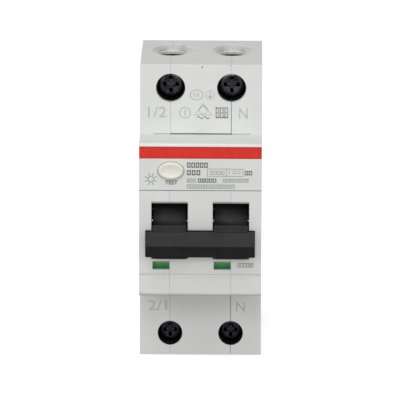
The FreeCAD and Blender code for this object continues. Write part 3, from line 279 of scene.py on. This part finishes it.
def cage_zinc():
    return metal("cage_zinc", linear(198, 199, 202), linear(160, 162, 166), 0.34, (1, 0.12, 1))


def pin_steel():
    return metal("pin_steel", linear(188, 189, 191), linear(150, 151, 154), 0.26, (0.1, 1, 1))


def spring_steel():
    return metal("spring_steel", linear(170, 171, 175), linear(122, 123, 128), 0.28, size=0.12 * MM)


def yoke_steel():
    return metal("yoke_steel", linear(176, 178, 182), linear(140, 142, 146), 0.4, (1, 1, 0.15))


def copper():
    return metal("copper", linear(214, 138, 102), linear(176, 104, 72), 0.3, (1, 0.15, 1),
                 stain=linear(120, 70, 50))


def magnet_wire():
    """Enamelled copper: a clear reddish lacquer over the bright wire."""
    finish = Finish("magnet_wire")
    cloud = finish.noise(0.6 * MM, 3.0)
    base = finish.mix(finish.spread(cloud, 0.3, 0.7), linear(150, 62, 28), linear(190, 88, 42))
    return finish.surface(base_color=base, metallic=0.85, roughness=finish.spread(cloud, 0.3, 0.7, 0.2, 0.34),
                          normal=finish.relief(cloud, 0.004 * MM), coat_weight=0.6)


def bimetal():
    """Rolled strip of two metals, the outer one yellower than the inner."""
    finish = Finish("bimetal")
    low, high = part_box("bimetal_strip")
    rolled = finish.noise(0.35 * MM, 4.0, 0.6, finish.stretched(1, 1, 0.08))
    outer = finish.axis("Y") < (low.y + high.y) / 2
    base = finish.mix(outer, finish.mix(rolled, linear(150, 150, 152), linear(186, 186, 188)),
                      finish.mix(rolled, linear(160, 140, 104), linear(196, 176, 134)))
    return finish.surface(base_color=base, metallic=1.0,
                          roughness=finish.spread(rolled, 0.3, 0.7, 0.28, 0.44),
                          normal=finish.relief(rolled, 0.003 * MM))


def chute_fibre():
    """Pressed fibre board: mottled, matt, with short fibres."""
    finish = Finish("chute_fibre")
    fibres = finish.noise(0.5 * MM, 5.0, 0.7, finish.stretched(1, 0.3, 1))
    base = finish.mix(finish.spread(fibres, 0.35, 0.65), linear(150, 120, 92), linear(186, 158, 126))
    return finish.surface(base_color=base, roughness=finish.spread(fibres, 0.3, 0.7, 0.7, 0.86),
                          normal=finish.relief(fibres, 0.02 * MM))


def core_coating():
    """Epoxy-dipped core: even green-blue skin with a rounded, slightly lumpy gloss."""
    finish = Finish("core_coating")
    lumps = finish.noise(1.4 * MM, 3.0)
    base = finish.mix(finish.spread(lumps, 0.35, 0.65), linear(40, 92, 86), linear(50, 108, 100))
    return finish.surface(base_color=base, roughness=finish.spread(lumps, 0.3, 0.7, 0.34, 0.48),
                          normal=finish.relief(lumps, 0.03 * MM))


def wire_insulation():
    """Extruded sleeve with faint draw lines."""
    finish = Finish("wire_insulation")
    lines = finish.noise(0.3 * MM, 3.0)
    base = finish.mix(finish.spread(lines, 0.3, 0.7), linear(30, 60, 128), linear(40, 74, 146))
    return finish.surface(base_color=base, roughness=finish.spread(lines, 0.3, 0.7, 0.4, 0.52),
                          normal=finish.relief(lines, 0.006 * MM))


def board_laminate():
    """Glass-cloth laminate under green solder mask, with the weave just showing and paler tracks."""
    finish = Finish("board_laminate")
    thread_pitch = 2 * MM
    weave = finish.node("ShaderNodeTexWave", {"bands_direction": "Y"},
                        {"Vector": finish.place(), "Scale": 1 / thread_pitch})
    across = finish.node("ShaderNodeTexWave", {"bands_direction": "Z"},
                         {"Vector": finish.place(), "Scale": 1 / thread_pitch})
    cloth = weave * 0.5 + across * 0.5
    tracks = finish.pits(2.6 * MM, finish.stretched(1, 1, 0.35)) < 0.34
    base = finish.mix(tracks, finish.mix(cloth, linear(18, 78, 44), linear(24, 92, 52)), linear(48, 122, 70))
    return finish.surface(base_color=base, roughness=finish.spread(cloth, 0, 1, 0.32, 0.46),
                          normal=finish.relief(cloth * 0.3 + tracks * 0.7, 0.02 * MM))


def resistor_body():
    """Lacquered body with four value rings round it."""
    finish = Finish("resistor_body")
    low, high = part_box("test_resistor")
    place = (finish.axis("Z") - low.z) / (high.z - low.z)
    clouds = finish.spread(finish.noise(0.5 * MM), 0.35, 0.65)
    base = finish.mix(clouds, linear(186, 160, 116), linear(202, 176, 132))
    ring_width = 0.05
    for start, colour in ((0.30, (120, 60, 30)), (0.42, (30, 30, 30)),
                          (0.54, (190, 60, 40)), (0.68, (170, 140, 60))):
        ring = (place > start) * (place < start + ring_width)
        base = finish.mix(ring, base, linear(*colour))
    return finish.surface(base_color=base,
                          roughness=finish.spread(finish.noise(0.4 * MM), 0.3, 0.7, 0.3, 0.42),
                          normal=finish.relief(finish.noise(0.4 * MM), 0.01 * MM))


def print_and_shade_ink(name, colour):
    """Thin pad-printed ink with small breaks in its cover; the same flat ink also paints the shade in the
    case joints.
    """
    finish = Finish(name)
    cover = finish.spread(finish.noise(0.18 * MM, 3.0, 0.6), 0.3, 0.55)
    base = finish.mix(cover, linear(*(step + 22 for step in colour)), linear(*colour))
    return finish.surface(base_color=base, roughness=finish.spread(cover, 0, 1, 0.5, 0.62),
                          normal=finish.relief(cover, 0.002 * MM))


def studio_floor():
    """Plain pale paper."""
    finish = Finish("studio_floor")
    fibre = finish.noise(3 * MM, 3.0)
    base = finish.mix(finish.spread(fibre, 0.3, 0.7), linear(249, 249, 249), linear(251, 251, 251))
    return finish.surface(base_color=base, roughness=0.9, emission_color=(1, 1, 1, 1), emission_strength=0.42)


# ---------------------------------------------------------------- mesh work


class Shape:
    """Corners and faces of one piece, in metres."""

    def __init__(self):
        self.corners, self.faces = [], []

    def ring(self, points):
        start = len(self.corners)
        self.corners += [Vector(point) for point in points]
        return list(range(start, len(self.corners)))

    def join(self, first, second):
        count = len(first)
        self.faces += [(first[i], first[(i + 1) % count], second[(i + 1) % count], second[i])
                       for i in range(count)]

    def close(self, ring, flip=False):
        self.faces.append(tuple(reversed(ring)) if flip else tuple(ring))

    def point(self, ring, tip):
        (top,) = self.ring([tip])
        count = len(ring)
        self.faces += [(ring[i], ring[(i + 1) % count], top) for i in range(count)]

    def mesh(self, name):
        data = bpy.data.meshes.new(name)
        data.from_pydata(self.corners, [], self.faces)
        work = bmesh.new()
        work.from_mesh(data)
        bmesh.ops.remove_doubles(work, verts=work.verts, dist=1e-7)
        bmesh.ops.recalc_face_normals(work, faces=work.faces)
        work.to_mesh(data)
        work.free()
        return data


def piece(name, data, finish, body, smooth=35):
    """A finished piece that rides on a body."""
    made = bpy.data.objects.new(name, data)
    bpy.context.scene.collection.objects.link(made)
    made.data.materials.clear()
    made.data.materials.append(finish)
    if smooth:
        made.data.shade_smooth()
        made.data.set_sharp_from_angle(angle=math.radians(smooth))
    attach(made, body)
    return made


def turned(profile, centre, axis, sides=48):
    """A turned shape: (distance along the axis, radius) steps, from one closed end to the other."""
    along = {"X": Vector((1, 0, 0)), "Y": Vector((0, 1, 0)), "Z": Vector((0, 0, 1))}[axis]
    across = along.orthogonal().normalized()
    beside = along.cross(across)
    shape, last = Shape(), None
    for step, radius in profile:
        middle = centre + along * step
        if radius <= 0:
            if last:
                shape.point(last, middle)
                last = None
            else:
                tip = middle
            continue
        angles = [FULL_TURN * i / sides for i in range(sides)]
        ring = shape.ring([middle + (across * math.cos(a) + beside * math.sin(a)) * radius for a in angles])
        if last:
            shape.join(last, ring)
        else:
            shape.point(ring, tip)
        last = ring
    return shape


def wire_along(points, radius, sides=10):
    """A round wire that follows the points, closed at both ends."""
    shape, last = Shape(), None
    side = (points[1] - points[0]).orthogonal().normalized()
    for i, point in enumerate(points):
        ahead = (points[min(i + 1, len(points) - 1)] - points[max(i - 1, 0)]).normalized()
        side = (side - ahead * side.dot(ahead)).normalized()
        beside = ahead.cross(side)
        angles = [FULL_TURN * k / sides for k in range(sides)]
        ring = shape.ring([point + (side * math.cos(a) + beside * math.sin(a)) * radius for a in angles])
        if last:
            shape.join(last, ring)
        else:
            shape.close(ring, flip=True)
        last = ring
    shape.close(last)
    return shape


def spring_mesh(node, axis, turns, wire):
    """A compression spring in the box of its CAD node, with closed and flattened end turns."""
    low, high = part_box(node)
    centre = (low + high) / 2
    index = "XYZ".index(axis)
    others = [i for i in range(3) if i != index]
    mean = (high - low)[others[0]] / 2 - wire
    start, length = low[index] + wire, (high - low)[index] - 2 * wire
    steps, total = 28, turns + 1.5
    points = []
    for i in range(int(total * steps) + 1):
        turn = i / steps
        share = min(max((turn - 0.6) / (total - 1.2), 0), 1)
        point = centre.copy()
        point[index] = start + length * share
        point[others[0]] += mean * math.cos(FULL_TURN * turn)
        point[others[1]] += mean * math.sin(FULL_TURN * turn)
        points.append(point)
    return wire_along(points, wire).mesh(node + "_wire")


def carved(base, cutter, name):
    """The base mesh with the cutter's shape taken out of it."""
    scene = bpy.context.scene
    block, tool = bpy.data.objects.new(name, base), bpy.data.objects.new(name + "_tool", cutter)
    scene.collection.objects.link(block)
    scene.collection.objects.link(tool)
    cut = block.modifiers.new("cut", "BOOLEAN")
    cut.operation, cut.solver, cut.object = "DIFFERENCE", "EXACT", tool
    bpy.context.view_layer.update()
    result = bpy.data.meshes.new_from_object(block.evaluated_get(bpy.context.evaluated_depsgraph_get()))
    result.name = name
    for spare in (block, tool):
        bpy.data.objects.remove(spare)
    return result


# ---------------------------------------------------------------- pieces


def cross_cutter(centre, front, reach, half, depth):
    """Cross recess: four tapering wings that narrow towards the bottom."""
    shape = Shape()

    def outline(y, long, short):
        corners = ((long, short), (short, short), (short, long),
                   (-short, long), (-short, short), (-long, short),
                   (-long, -short), (-short, -short), (-short, -long),
                   (short, -long), (short, -short), (long, -short))
        return shape.ring([(centre.x + a, y, centre.z + b) for a, b in corners])

    mouth = outline(front - 0.5 * MM, reach * 1.05, half * 1.1)
    floor = outline(front + depth, reach * 0.5, half * 0.72)
    shape.join(mouth, floor)
    shape.close(mouth, flip=True)
    shape.close(floor)
    return shape.mesh("cross_cutter")


def terminal_screws(finish):
    """Clamp screws: domed and chamfered heads with a cross recess, on a threaded shank."""
    for word in ("line", "load"):
        for side in ("left", "right"):
            node = f"terminal_screw_{word}_{side}"
            low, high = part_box(node)
            centre = Vector(((low.x + high.x) / 2, 0, (low.z + high.z) / 2))
            head, shank = (high.x - low.x) / 2, 2.4 * MM
            seat = low.y + 2.6 * MM
            profile = [(low.y + 0.1 * MM, 0), (low.y + 0.1 * MM, head * 0.3), (low.y, head * 0.62),
                       (low.y + 0.03 * MM, head - 0.55 * MM), (low.y + 0.18 * MM, head - 0.2 * MM),
                       (low.y + 0.42 * MM, head), (seat - 0.2 * MM, head), (seat, head - 0.2 * MM),
                       (seat, shank)]
            pitch, crest, thread_root = 0.8 * MM, seat + 0.5 * MM, shank - 0.34 * MM
            while crest < high.y - 1.0 * MM:
                profile += [(crest, shank), (crest + pitch * 0.45, thread_root),
                            (crest + pitch * 0.55, thread_root)]
                crest += pitch
            profile += [(high.y - 0.5 * MM, shank - 0.1 * MM), (high.y, shank - 0.6 * MM), (high.y, 0)]
            body = turned(profile, centre, "Y", 56).mesh(node + "_blank")
            cutter = cross_cutter(centre, low.y, head * 0.66, 0.55 * MM, 1.5 * MM)
            made = piece(node + "_machined", carved(body, cutter, node + "_machined"), finish,
                         f"screw_{word}_{side}", 30)
            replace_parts(made, node)


def well_liners(finish):
    """Black sleeves in the four screw wells, set back a little from the mouth, that keep the wells dark
    inside.
    """
    for side, middle in (("left", -8.75 * MM), ("right", 8.75 * MM)):
        for word, height, radius, front, back in (("line", 35.6 * MM, 4.18 * MM, -40.8 * MM, -34.0 * MM),
                                                  ("load", -36.2 * MM, 3.53 * MM, -43.2 * MM, -36.0 * MM)):
            thick, lip = 0.14 * MM, 0.06 * MM
            shape, sides = Shape(), 56
            rings = []
            for r, y in ((radius - lip, front), (radius, front + lip), (radius, back),
                         (radius - thick, back), (radius - thick, front + lip),
                         (radius - thick + lip / 2, front)):
                rings.append(shape.ring([(middle + r * math.cos(FULL_TURN * k / sides), y,
                                          height + r * math.sin(FULL_TURN * k / sides))
                                         for k in range(sides)]))
            for first, second in zip(rings, rings[1:] + rings[:1]):
                shape.join(first, second)
            piece(f"well_liner_{word}_{side}", shape.mesh(f"well_liner_{word}_{side}"), finish, "housing")


def entry_guides(finish):
    """Short oval sleeves that carry each upper entry's throat down towards its clamp."""
    for side, middle in (("left", -8.75 * MM), ("right", 8.75 * MM)):
        shape, sides, centre_y, straight = Shape(), 64, -13 * MM, 1.2 * MM
        rings = []
        for radius, z in ((3.76 * MM, 40.6 * MM), (3.76 * MM, 39.7 * MM), (3.44 * MM, 39.7 * MM),
                          (3.44 * MM, 40.45 * MM), (3.6 * MM, 40.6 * MM)):
            points = []
            for k in range(sides):
                turn = FULL_TURN * (k + 0.5) / sides
                shift = straight if math.sin(turn) > 0 else -straight
                y = centre_y + radius * math.sin(turn) + shift
                points.append((middle + radius * math.cos(turn), y, z))
            rings.append(shape.ring(points))
        for first, second in zip(rings, rings[1:] + rings[:1]):
            shape.join(first, second)
        piece(f"entry_guide_{side}", shape.mesh(f"entry_guide_{side}"), finish, "housing")


def rolled_rivets(finish):
    """Tubular rivets rolled over in their recesses on both sides of the case."""
    low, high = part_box("case_rivets")
    tip, seat = high.x, high.x - 0.7 * MM
    half = [(tip - 0.75 * MM, 0), (tip - 0.75 * MM, 0.82 * MM), (tip - 0.25 * MM, 0.9 * MM),
            (tip - 0.06 * MM, 1.08 * MM), (tip, 1.35 * MM), (tip - 0.05 * MM, 1.72 * MM),
            (tip - 0.22 * MM, 2.04 * MM), (tip - 0.42 * MM, 2.2 * MM), (tip - 0.6 * MM, 2.14 * MM),
            (seat, 1.9 * MM), (seat, 1.3 * MM)]
    profile = half + [(-x, r) for x, r in reversed(half)]
    combined = bmesh.new()
    for y, z in ((-39.5, 25.5), (0.8, 25), (-39.6, -27), (-4, -26), (-44.5, -17.2), (-4.5, -1)):
        combined.from_mesh(turned(profile, Vector((0, y * MM, z * MM)), "X", 40).mesh("rivet"))
    data = bpy.data.meshes.new("rolled_rivets")
    combined.to_mesh(data)
    combined.free()
    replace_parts(piece("rolled_rivets", data, finish, "housing", 30), "case_rivets")


def push_button(finish):
    """Oval push button: slightly dished face, rounded rim, side walls, flange and stem."""
    low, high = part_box("test_button")
    centre = Vector(((low.x + high.x) / 2, 0, (low.z + high.z) / 2))
    wide, tall, sides = 3.7 * MM, 2.5 * MM, 72
    shape, last = Shape(), None
    crown = [(0.14, -1.9), (0.10, -1.2), (0.03, -0.75), (0.0, -0.5), (0.07, -0.2), (0.22, -0.06), (0.5, 0.0)]
    skirt = [(2.5, 0.0), (2.5, 0.6), (3.62, 0.6), (3.7, 0.5)]
    for depth, grow in crown + skirt:
        a, b = wide + grow * MM, tall + grow * MM
        ring = shape.ring([(centre.x + a * math.cos(FULL_TURN * k / sides), low.y + depth * MM,
                            centre.z + b * math.sin(FULL_TURN * k / sides)) for k in range(sides)])
        if last:
            shape.join(last, ring)
        else:
            shape.point(ring, (centre.x, low.y + 0.16 * MM, centre.z))
        last = ring
    length, stem, chamfer = high.y - low.y, 1.6 * MM, 0.3 * MM
    for depth, radius in ((3.7 * MM, stem), (length - chamfer, stem), (length, 1.3 * MM)):
        ring = shape.ring([(centre.x + radius * math.cos(FULL_TURN * k / sides), low.y + depth,
                            centre.z + radius * math.sin(FULL_TURN * k / sides)) for k in range(sides)])
        shape.join(last, ring)
        last = ring
    shape.point(last, (centre.x, high.y, centre.z))
    made = piece("push_button_cap", shape.mesh("push_button_cap"), finish, "push_button", 40)
    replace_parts(made, "test_button")


def springs(finish):
    """Coil springs for the clips, the plunger and the button, each on a mesh of its own."""
    for side in ("left", "right"):
        node = f"clip_spring_{side}"
        made = piece(node + "_coil", spring_mesh(node, "Z", 7, 0.22 * MM), finish, "housing",
                     60)
        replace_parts(made, node)
        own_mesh(made)
    made = piece("plunger_spring_coil", spring_mesh("plunger_spring", "Y", 4, 0.25 * MM), finish, "housing",
                 60)
    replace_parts(made, "plunger_spring")
    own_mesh(made)
    made = piece("button_spring_coil", spring_mesh("test_button_spring", "Y", 6, 0.25 * MM), finish,
                 "housing", 60)
    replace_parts(made, "test_button_spring")
    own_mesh(made)


# ---------------------------------------------------------------- printed marks and painted joint shade


def face_depth(node, x, z):
    """How far forward the node's front is at that place."""
    hit, place, _, _ = NODES[node].ray_cast(Vector((x, -0.2, z)), Vector((0, 1, 0)))
    if not hit:
        raise ValueError(f"nothing of {node} at {x}, {z}")
    return place.y


class PrintAndPaintedShade:
    """Flat printed outlines, and flat strips of painted shade, gathered into one thin mesh per ink."""

    def __init__(self):
        self.work = bmesh.new()
        self.thickness = 0.015 * MM

    def outline(self, points, node):
        """A filled outline laid on the front of a node; points are (x, z) in millimetres, in order."""
        centre_x = sum(p[0] for p in points) / len(points)
        centre_z = sum(p[1] for p in points) / len(points)
        y = face_depth(node, centre_x * MM, centre_z * MM)
        back = [self.work.verts.new((x * MM, y, z * MM)) for x, z in points]
        front = [self.work.verts.new((x * MM, y - self.thickness, z * MM)) for x, z in points]
        self.work.faces.new(front)
        self.work.faces.new(list(reversed(back)))
        count = len(points)
        for i in range(count):
            self.work.faces.new((back[i], back[(i + 1) % count], front[(i + 1) % count], front[i]))

    def stroke(self, points, width, node, closed=False):
        """A line of even width through the points."""
        count = len(points)
        runs = range(count if closed else count - 1)
        for i in runs:
            (ax, az), (bx, bz) = points[i], points[(i + 1) % count]
            length = math.hypot(bx - ax, bz - az)
            if length < 1e-6:
                continue
            ex, ez = (bx - ax) / length * width / 2, (bz - az) / length * width / 2
            self.outline([(ax - ex + ez, az - ez - ex), (bx + ex + ez, bz + ez - ex),
                          (bx + ex - ez, bz + ez + ex), (ax - ex - ez, az - ez + ex)], node)

    def hoop(self, x, z, radius, width, node, stretch=1.0, sides=40):
        """A printed ring, or an oval one when it is stretched sideways."""
        y = face_depth(node, x * MM, z * MM)
        rings = []
        for r, depth in ((radius - width / 2, y), (radius + width / 2, y),
                         (radius + width / 2, y - self.thickness), (radius - width / 2, y - self.thickness)):
            ring = []
            for k in range(sides):
                turn = FULL_TURN * k / sides
                across, up = stretch * r * math.cos(turn), r * math.sin(turn)
                ring.append(self.work.verts.new(((x + across) * MM, depth, (z + up) * MM)))
            rings.append(ring)
        for first, second in zip(rings, rings[1:] + rings[:1]):
            for k in range(sides):
                self.work.faces.new((first[k], first[(k + 1) % sides], second[(k + 1) % sides], second[k]))

    def words(self, text, x, z, width, height, node, weight=0.0):
        """Plain generic lettering, fitted to a width and a height."""
        curve = bpy.data.curves.new("lettering", "FONT")
        curve.body = text
        curve.extrude, curve.offset = 0.05, weight
        curve.resolution_u = 4
        holder = bpy.data.objects.new("lettering", curve)
        bpy.context.scene.collection.objects.link(holder)
        bpy.context.view_layer.update()
        data = bpy.data.meshes.new_from_object(holder.evaluated_get(bpy.context.evaluated_depsgraph_get()))
        bpy.data.objects.remove(holder)
        low = [min(v.co[i] for v in data.vertices) for i in range(3)]
        high = [max(v.co[i] for v in data.vertices) for i in range(3)]
        y = face_depth(node, x * MM, z * MM)
        for v in data.vertices:
            a, b, c = [(v.co[i] - low[i]) / (high[i] - low[i]) for i in range(3)]
            v.co = ((x + (a - 0.5) * width) * MM, y - c * self.thickness, (z + (b - 0.5) * height) * MM)
        self.work.from_mesh(data)

    def row(self, lengths, x, z, height, gap, node, line=None):
        """A row of plain boxes that stands for small print: filled, or drawn with a line of that width."""
        for length in lengths:
            box = [(x, z - height / 2), (x + length, z - height / 2), (x + length, z + height / 2),
                   (x, z + height / 2)]
            if line:
                self.stroke(box, line, node, closed=True)
            else:
                self.outline(box, node)
            x += length + gap

    def finish(self, name, ink):
        data = bpy.data.meshes.new(name)
        bmesh.ops.remove_doubles(self.work, verts=self.work.verts, dist=1e-8)
        bmesh.ops.recalc_face_normals(self.work, faces=self.work.faces)
        self.work.to_mesh(data)
        self.work.free()
        return piece(name, data, ink, "housing", smooth=0)


def shoulder_marks(ink):
    """Terminal numbers and plain circuit symbols on the two shoulders."""
    marks = PrintAndPaintedShade()
    marks.words("1/2", -12.6, 28.65, 5.3, 3.1, "left_case_shell")
    marks.words("N", 12.14, 28.35, 2.5, 3.1, "right_case_shell")
    marks.words("2/1", -12.3, -28.05, 5.3, 2.9, "left_case_shell")
    marks.words("N", 11.6, -28.35, 2.5, 2.9, "right_case_shell")
    node = "centre_frame"
    marks.hoop(-4.6, 28.5, 1.55, 0.28, node)
    marks.stroke([(-4.6, 27.7), (-4.6, 29.4)], 0.26, node)
    marks.stroke([(-2.1, 27.9), (3.5, 27.9)], 0.22, node)
    marks.stroke([(-1.5, 28.4), (0.6, 31.0), (2.7, 28.4)], 0.22, node)
    marks.hoop(0.6, 29.3, 1.1, 0.2, node)
    wave = [(-1.2 + 3.6 * i / 24, 27.1 + 0.3 * math.sin(2 * FULL_TURN * i / 24)) for i in range(25)]
    marks.stroke(wave, 0.22, node)
    marks.hoop(-1.3, 33.7, 1.45, 0.26, node, stretch=1.25)
    marks.row([0.7, 0.7], -2.2, 33.95, 0.3, 0.3, node)
    marks.row([0.7, 0.7], -2.2, 33.4, 0.3, 0.3, node)
    marks.hoop(2.6, 33.7, 1.3, 0.16, node)
    marks.stroke([(2.6, 34.6), (2.6, 32.9)], 0.3, node)
    marks.stroke([(1.9, 33.5), (2.6, 32.85), (3.3, 33.5)], 0.26, node)
    return marks.finish("shoulder_marks", ink)


def approval_bars(ink):
    """Three plain barred boxes where an approval mark stands on such devices."""
    bars = PrintAndPaintedShade()
    bars.row([0.75] * 3, 4.35, 28.55, 2.8, 0.5, "centre_frame", line=0.36)
    bars.row([0.4] * 3, 4.5, 28.55, 0.34, 0.85, "centre_frame")
    return bars.finish("approval_bars", ink)


def painted_joint_shade(ink):
    """Painted shade: thin dark ink strips laid along the joints between the case parts, where shade falls in
    the gaps, with a small dark triangle and a short dash on the top edge.
    """
    shade_strips = PrintAndPaintedShade()
    shade_strips.stroke([(8.66, 31.3), (8.66, 22.5)], 0.13, "centre_frame")
    shade_strips.stroke([(8.66, -22.6), (8.66, -32.6)], 0.11, "centre_frame")
    shade_strips.stroke([(8.66, -39.9), (8.66, -42.2)], 0.08, "centre_frame")
    shade_strips.stroke([(-8.6, 22.36), (8.6, 22.36)], 0.34, "centre_frame")
    shade_strips.stroke([(-13.6, 22.34), (-8.8, 22.34)], 0.12, "left_case_shell")
    shade_strips.stroke([(8.8, 22.34), (14.2, 22.34)], 0.12, "right_case_shell")
    shade_strips.outline([(0.1, 41.5), (0.5, 41.5), (0.3, 42.3)], "centre_frame")
    shade_strips.stroke([(8.0, 42.25), (8.6, 42.25)], 0.12, "centre_frame")
    return shade_strips.finish("painted_joint_shade", ink)


def nose_marks(ink, dark_ink):
    """The word beside the button in dark ink, and rows of plain bars and boxes in grey."""
    cap, bold, fine = "front_cap", PrintAndPaintedShade(), PrintAndPaintedShade()
    bold.words("TEST", -8.28, 10.9, 3.6, 1.2, cap, weight=0.03)
    bold.row([0.7] * 5, -3.65, 15.95, 1.2, 0.52, cap, line=0.3)
    bold.row([0.75] * 3, -3.65, 13.75, 1.15, 0.6, cap, line=0.32)
    bold.row([0.7, 0.7], 12.75, 13.7, 1.0, 0.45, cap, line=0.26)
    bold.row([0.7, 0.55, 0.7, 0.7, 0.75], -0.6, 11.5, 0.9, 0.4, cap, line=0.26)
    fine.row([0.3, 0.6, 0.55], -3.7, 11.5, 0.9, 0.4, cap, line=0.18)
    fine.stroke([(1.95, 12.75), (12.15, 12.75), (12.15, 14.85), (1.95, 14.85)], 0.16, cap, closed=True)
    fine.stroke([(7.44, 12.85), (7.44, 14.75)], 0.16, cap)
    fine.row([0.7] * 4, 2.75, 13.75, 0.85, 0.4, cap, line=0.16)
    fine.stroke([(8.2, 14.3), (8.2, 13.3)], 0.16, cap)
    fine.row([2.0], 9.3, 13.95, 0.7, 0.4, cap, line=0.14)
    fine.row([0.6, 0.55, 0.3, 0.6, 0.6, 0.6, 0.6, 0.45], 6.5, 11.5, 0.85, 0.4, cap, line=0.18)
    fine.row([0.62] * 14, -3.7, 9.75, 0.95, 0.36, cap, line=0.18)
    sun_x, sun_z, rays = -14.1, 11.85, 8
    fine.hoop(sun_x, sun_z, 0.8, 0.2, cap)
    for ray in range(rays):
        turn = FULL_TURN * (ray + 0.5) / rays
        ends = [(sun_x + r * math.cos(turn), sun_z + r * math.sin(turn)) for r in (1.05, 1.7)]
        fine.stroke(ends, 0.24, cap)
    bold.finish("nose_marks_bold", dark_ink)
    fine.row([0.35, 0.7, 0.55, 0.5, 0.3, 0.3], 10.8, -13.1, 1.05, 0.32, "right_case_shell", line=0.18)
    fine.finish("nose_marks_fine", ink)


# ---------------------------------------------------------------- dressing the CAD nodes


FINISHES = {make.__name__: make for make in (
    housing_grey, band_red, toggle_black, button_ivory, rivet_steel, screw_zinc, cage_zinc, copper,
    magnet_wire, spring_steel, pin_steel, bimetal, yoke_steel, mechanism_plastic, bobbin_plastic,
    chute_fibre, core_coating, wire_insulation, relay_plastic, board_laminate, component_black,
    resistor_body, flag_green, clip_plastic)}


def dress_nodes():
    """Every CAD node takes the finish of its own slot."""
    made = {name: make() for name, make in FINISHES.items()}
    for part in frame["record"]["subparts"]:
        node = NODES[part["node"]]
        finish = made[part["material_slot"]]
        if not node.material_slots:
            node.data.materials.append(finish)
        for slot in node.material_slots:
            slot.material = finish
    return made


def soften(nodes, width):
    """Small moulded radius along the sharp edges."""
    for name in nodes:
        node = NODES[name]
        weld = node.modifiers.new("weld", "WELD")
        weld.merge_threshold = 1e-6
        flat = node.modifiers.new("flat", "DECIMATE")
        flat.decimate_type, flat.angle_limit = "DISSOLVE", math.radians(0.6)
        round_over = node.modifiers.new("round", "BEVEL")
        round_over.width, round_over.segments, round_over.limit_method = width, 2, "ANGLE"
        round_over.angle_limit = math.radians(40)
        round_over.use_clamp_overlap = False
        round_over.harden_normals = True
        round_over.miter_outer = "MITER_ARC"


# ---------------------------------------------------------------- studio


def studio():
    """Pale floor and soft light from above and in front."""
    bpy.ops.mesh.primitive_plane_add(size=8, location=(0, 1.0, CAD_BOX[0][2] - 0.0002))
    floor = bpy.context.object
    floor.name = "studio_floor"
    floor.data.materials.append(studio_floor())
    floor.visible_diffuse = floor.visible_glossy = False
    world = bpy.data.worlds.new("studio_air")
    bpy.context.scene.world = world
    world.use_nodes = True
    world.node_tree.nodes["Background"].inputs["Color"].default_value = (1, 1, 1, 1)
    world.node_tree.nodes["Background"].inputs["Strength"].default_value = 0.4
    for name, place, aim, size, power in (("soft_box_above", (-0.1, -0.45, 1.1), (0, 0.1, 0), 0.8, 7.4),
                                          ("key_left", (-0.78, -0.95, 0.56), (0, -0.03, 0), 0.45, 3.4),
                                          ("key_right", (0.78, -0.95, 0.5), (0, -0.03, 0), 0.45, 2.6),
                                          ("fill_front", (0, -1.2, 0.12), (0, -0.03, 0), 0.28, 3.2)):
        lamp = bpy.data.lights.new(name, "AREA")
        lamp.shape, lamp.size, lamp.energy = "SQUARE", size, power
        holder = bpy.data.objects.new(name, lamp)
        bpy.context.scene.collection.objects.link(holder)
        holder.location = place
        holder.rotation_euler = (Vector(aim) - Vector(place)).to_track_quat("-Z", "Y").to_euler()
    bpy.context.scene.view_settings.view_transform = "Standard"


def camera():
    """A long lens a little above the front, level with the middle of the case."""
    pitch, yaw, roll, distance = math.radians(11.1), math.radians(0.5), math.radians(0.2), 1.589
    aim = Vector((0, -0.058, 0.00584))
    lens = bpy.data.cameras.new("camera")
    lens.lens, lens.sensor_width = 501.5, 36
    lens.shift_x = -0.0008
    holder = bpy.data.objects.new("camera", lens)
    bpy.context.scene.collection.objects.link(holder)
    away = Vector((math.sin(yaw) * math.cos(pitch), -math.cos(yaw) * math.cos(pitch), math.sin(pitch)))
    holder.location = aim + distance * away
    holder.rotation_euler = (math.pi / 2 - pitch, 0, yaw)
    holder.rotation_euler.rotate_axis("Z", roll)
    bpy.context.scene.camera = holder


def build():
    made = dress_nodes()
    soften(["left_case_shell", "centre_frame", "right_case_shell", "front_cap"], 0.12 * MM)
    soften(["toggle_left", "toggle_right", "toggle_tie_bar"], 0.2 * MM)
    soften(["rail_clip_left", "rail_clip_right"], 0.15 * MM)
    terminal_screws(made["screw_zinc"])
    well_liners(liner_black())
    entry_guides(made["housing_grey"])
    rolled_rivets(made["rivet_steel"])
    push_button(made["button_ivory"])
    springs(made["spring_steel"])
    shoulder_marks(print_and_shade_ink("mark_grey", (166, 168, 167)))
    approval_bars(print_and_shade_ink("approval_grey", (140, 144, 148)))
    # Painted shade in the case joints, drawn as dark ink strips.
    painted_joint_shade(print_and_shade_ink("shade_ink_for_joints", (76, 79, 78)))
    nose_marks(print_and_shade_ink("print_grey", (128, 131, 132)), print_and_shade_ink("print_dark", (88, 91, 92)))
    studio()
    camera()


build()
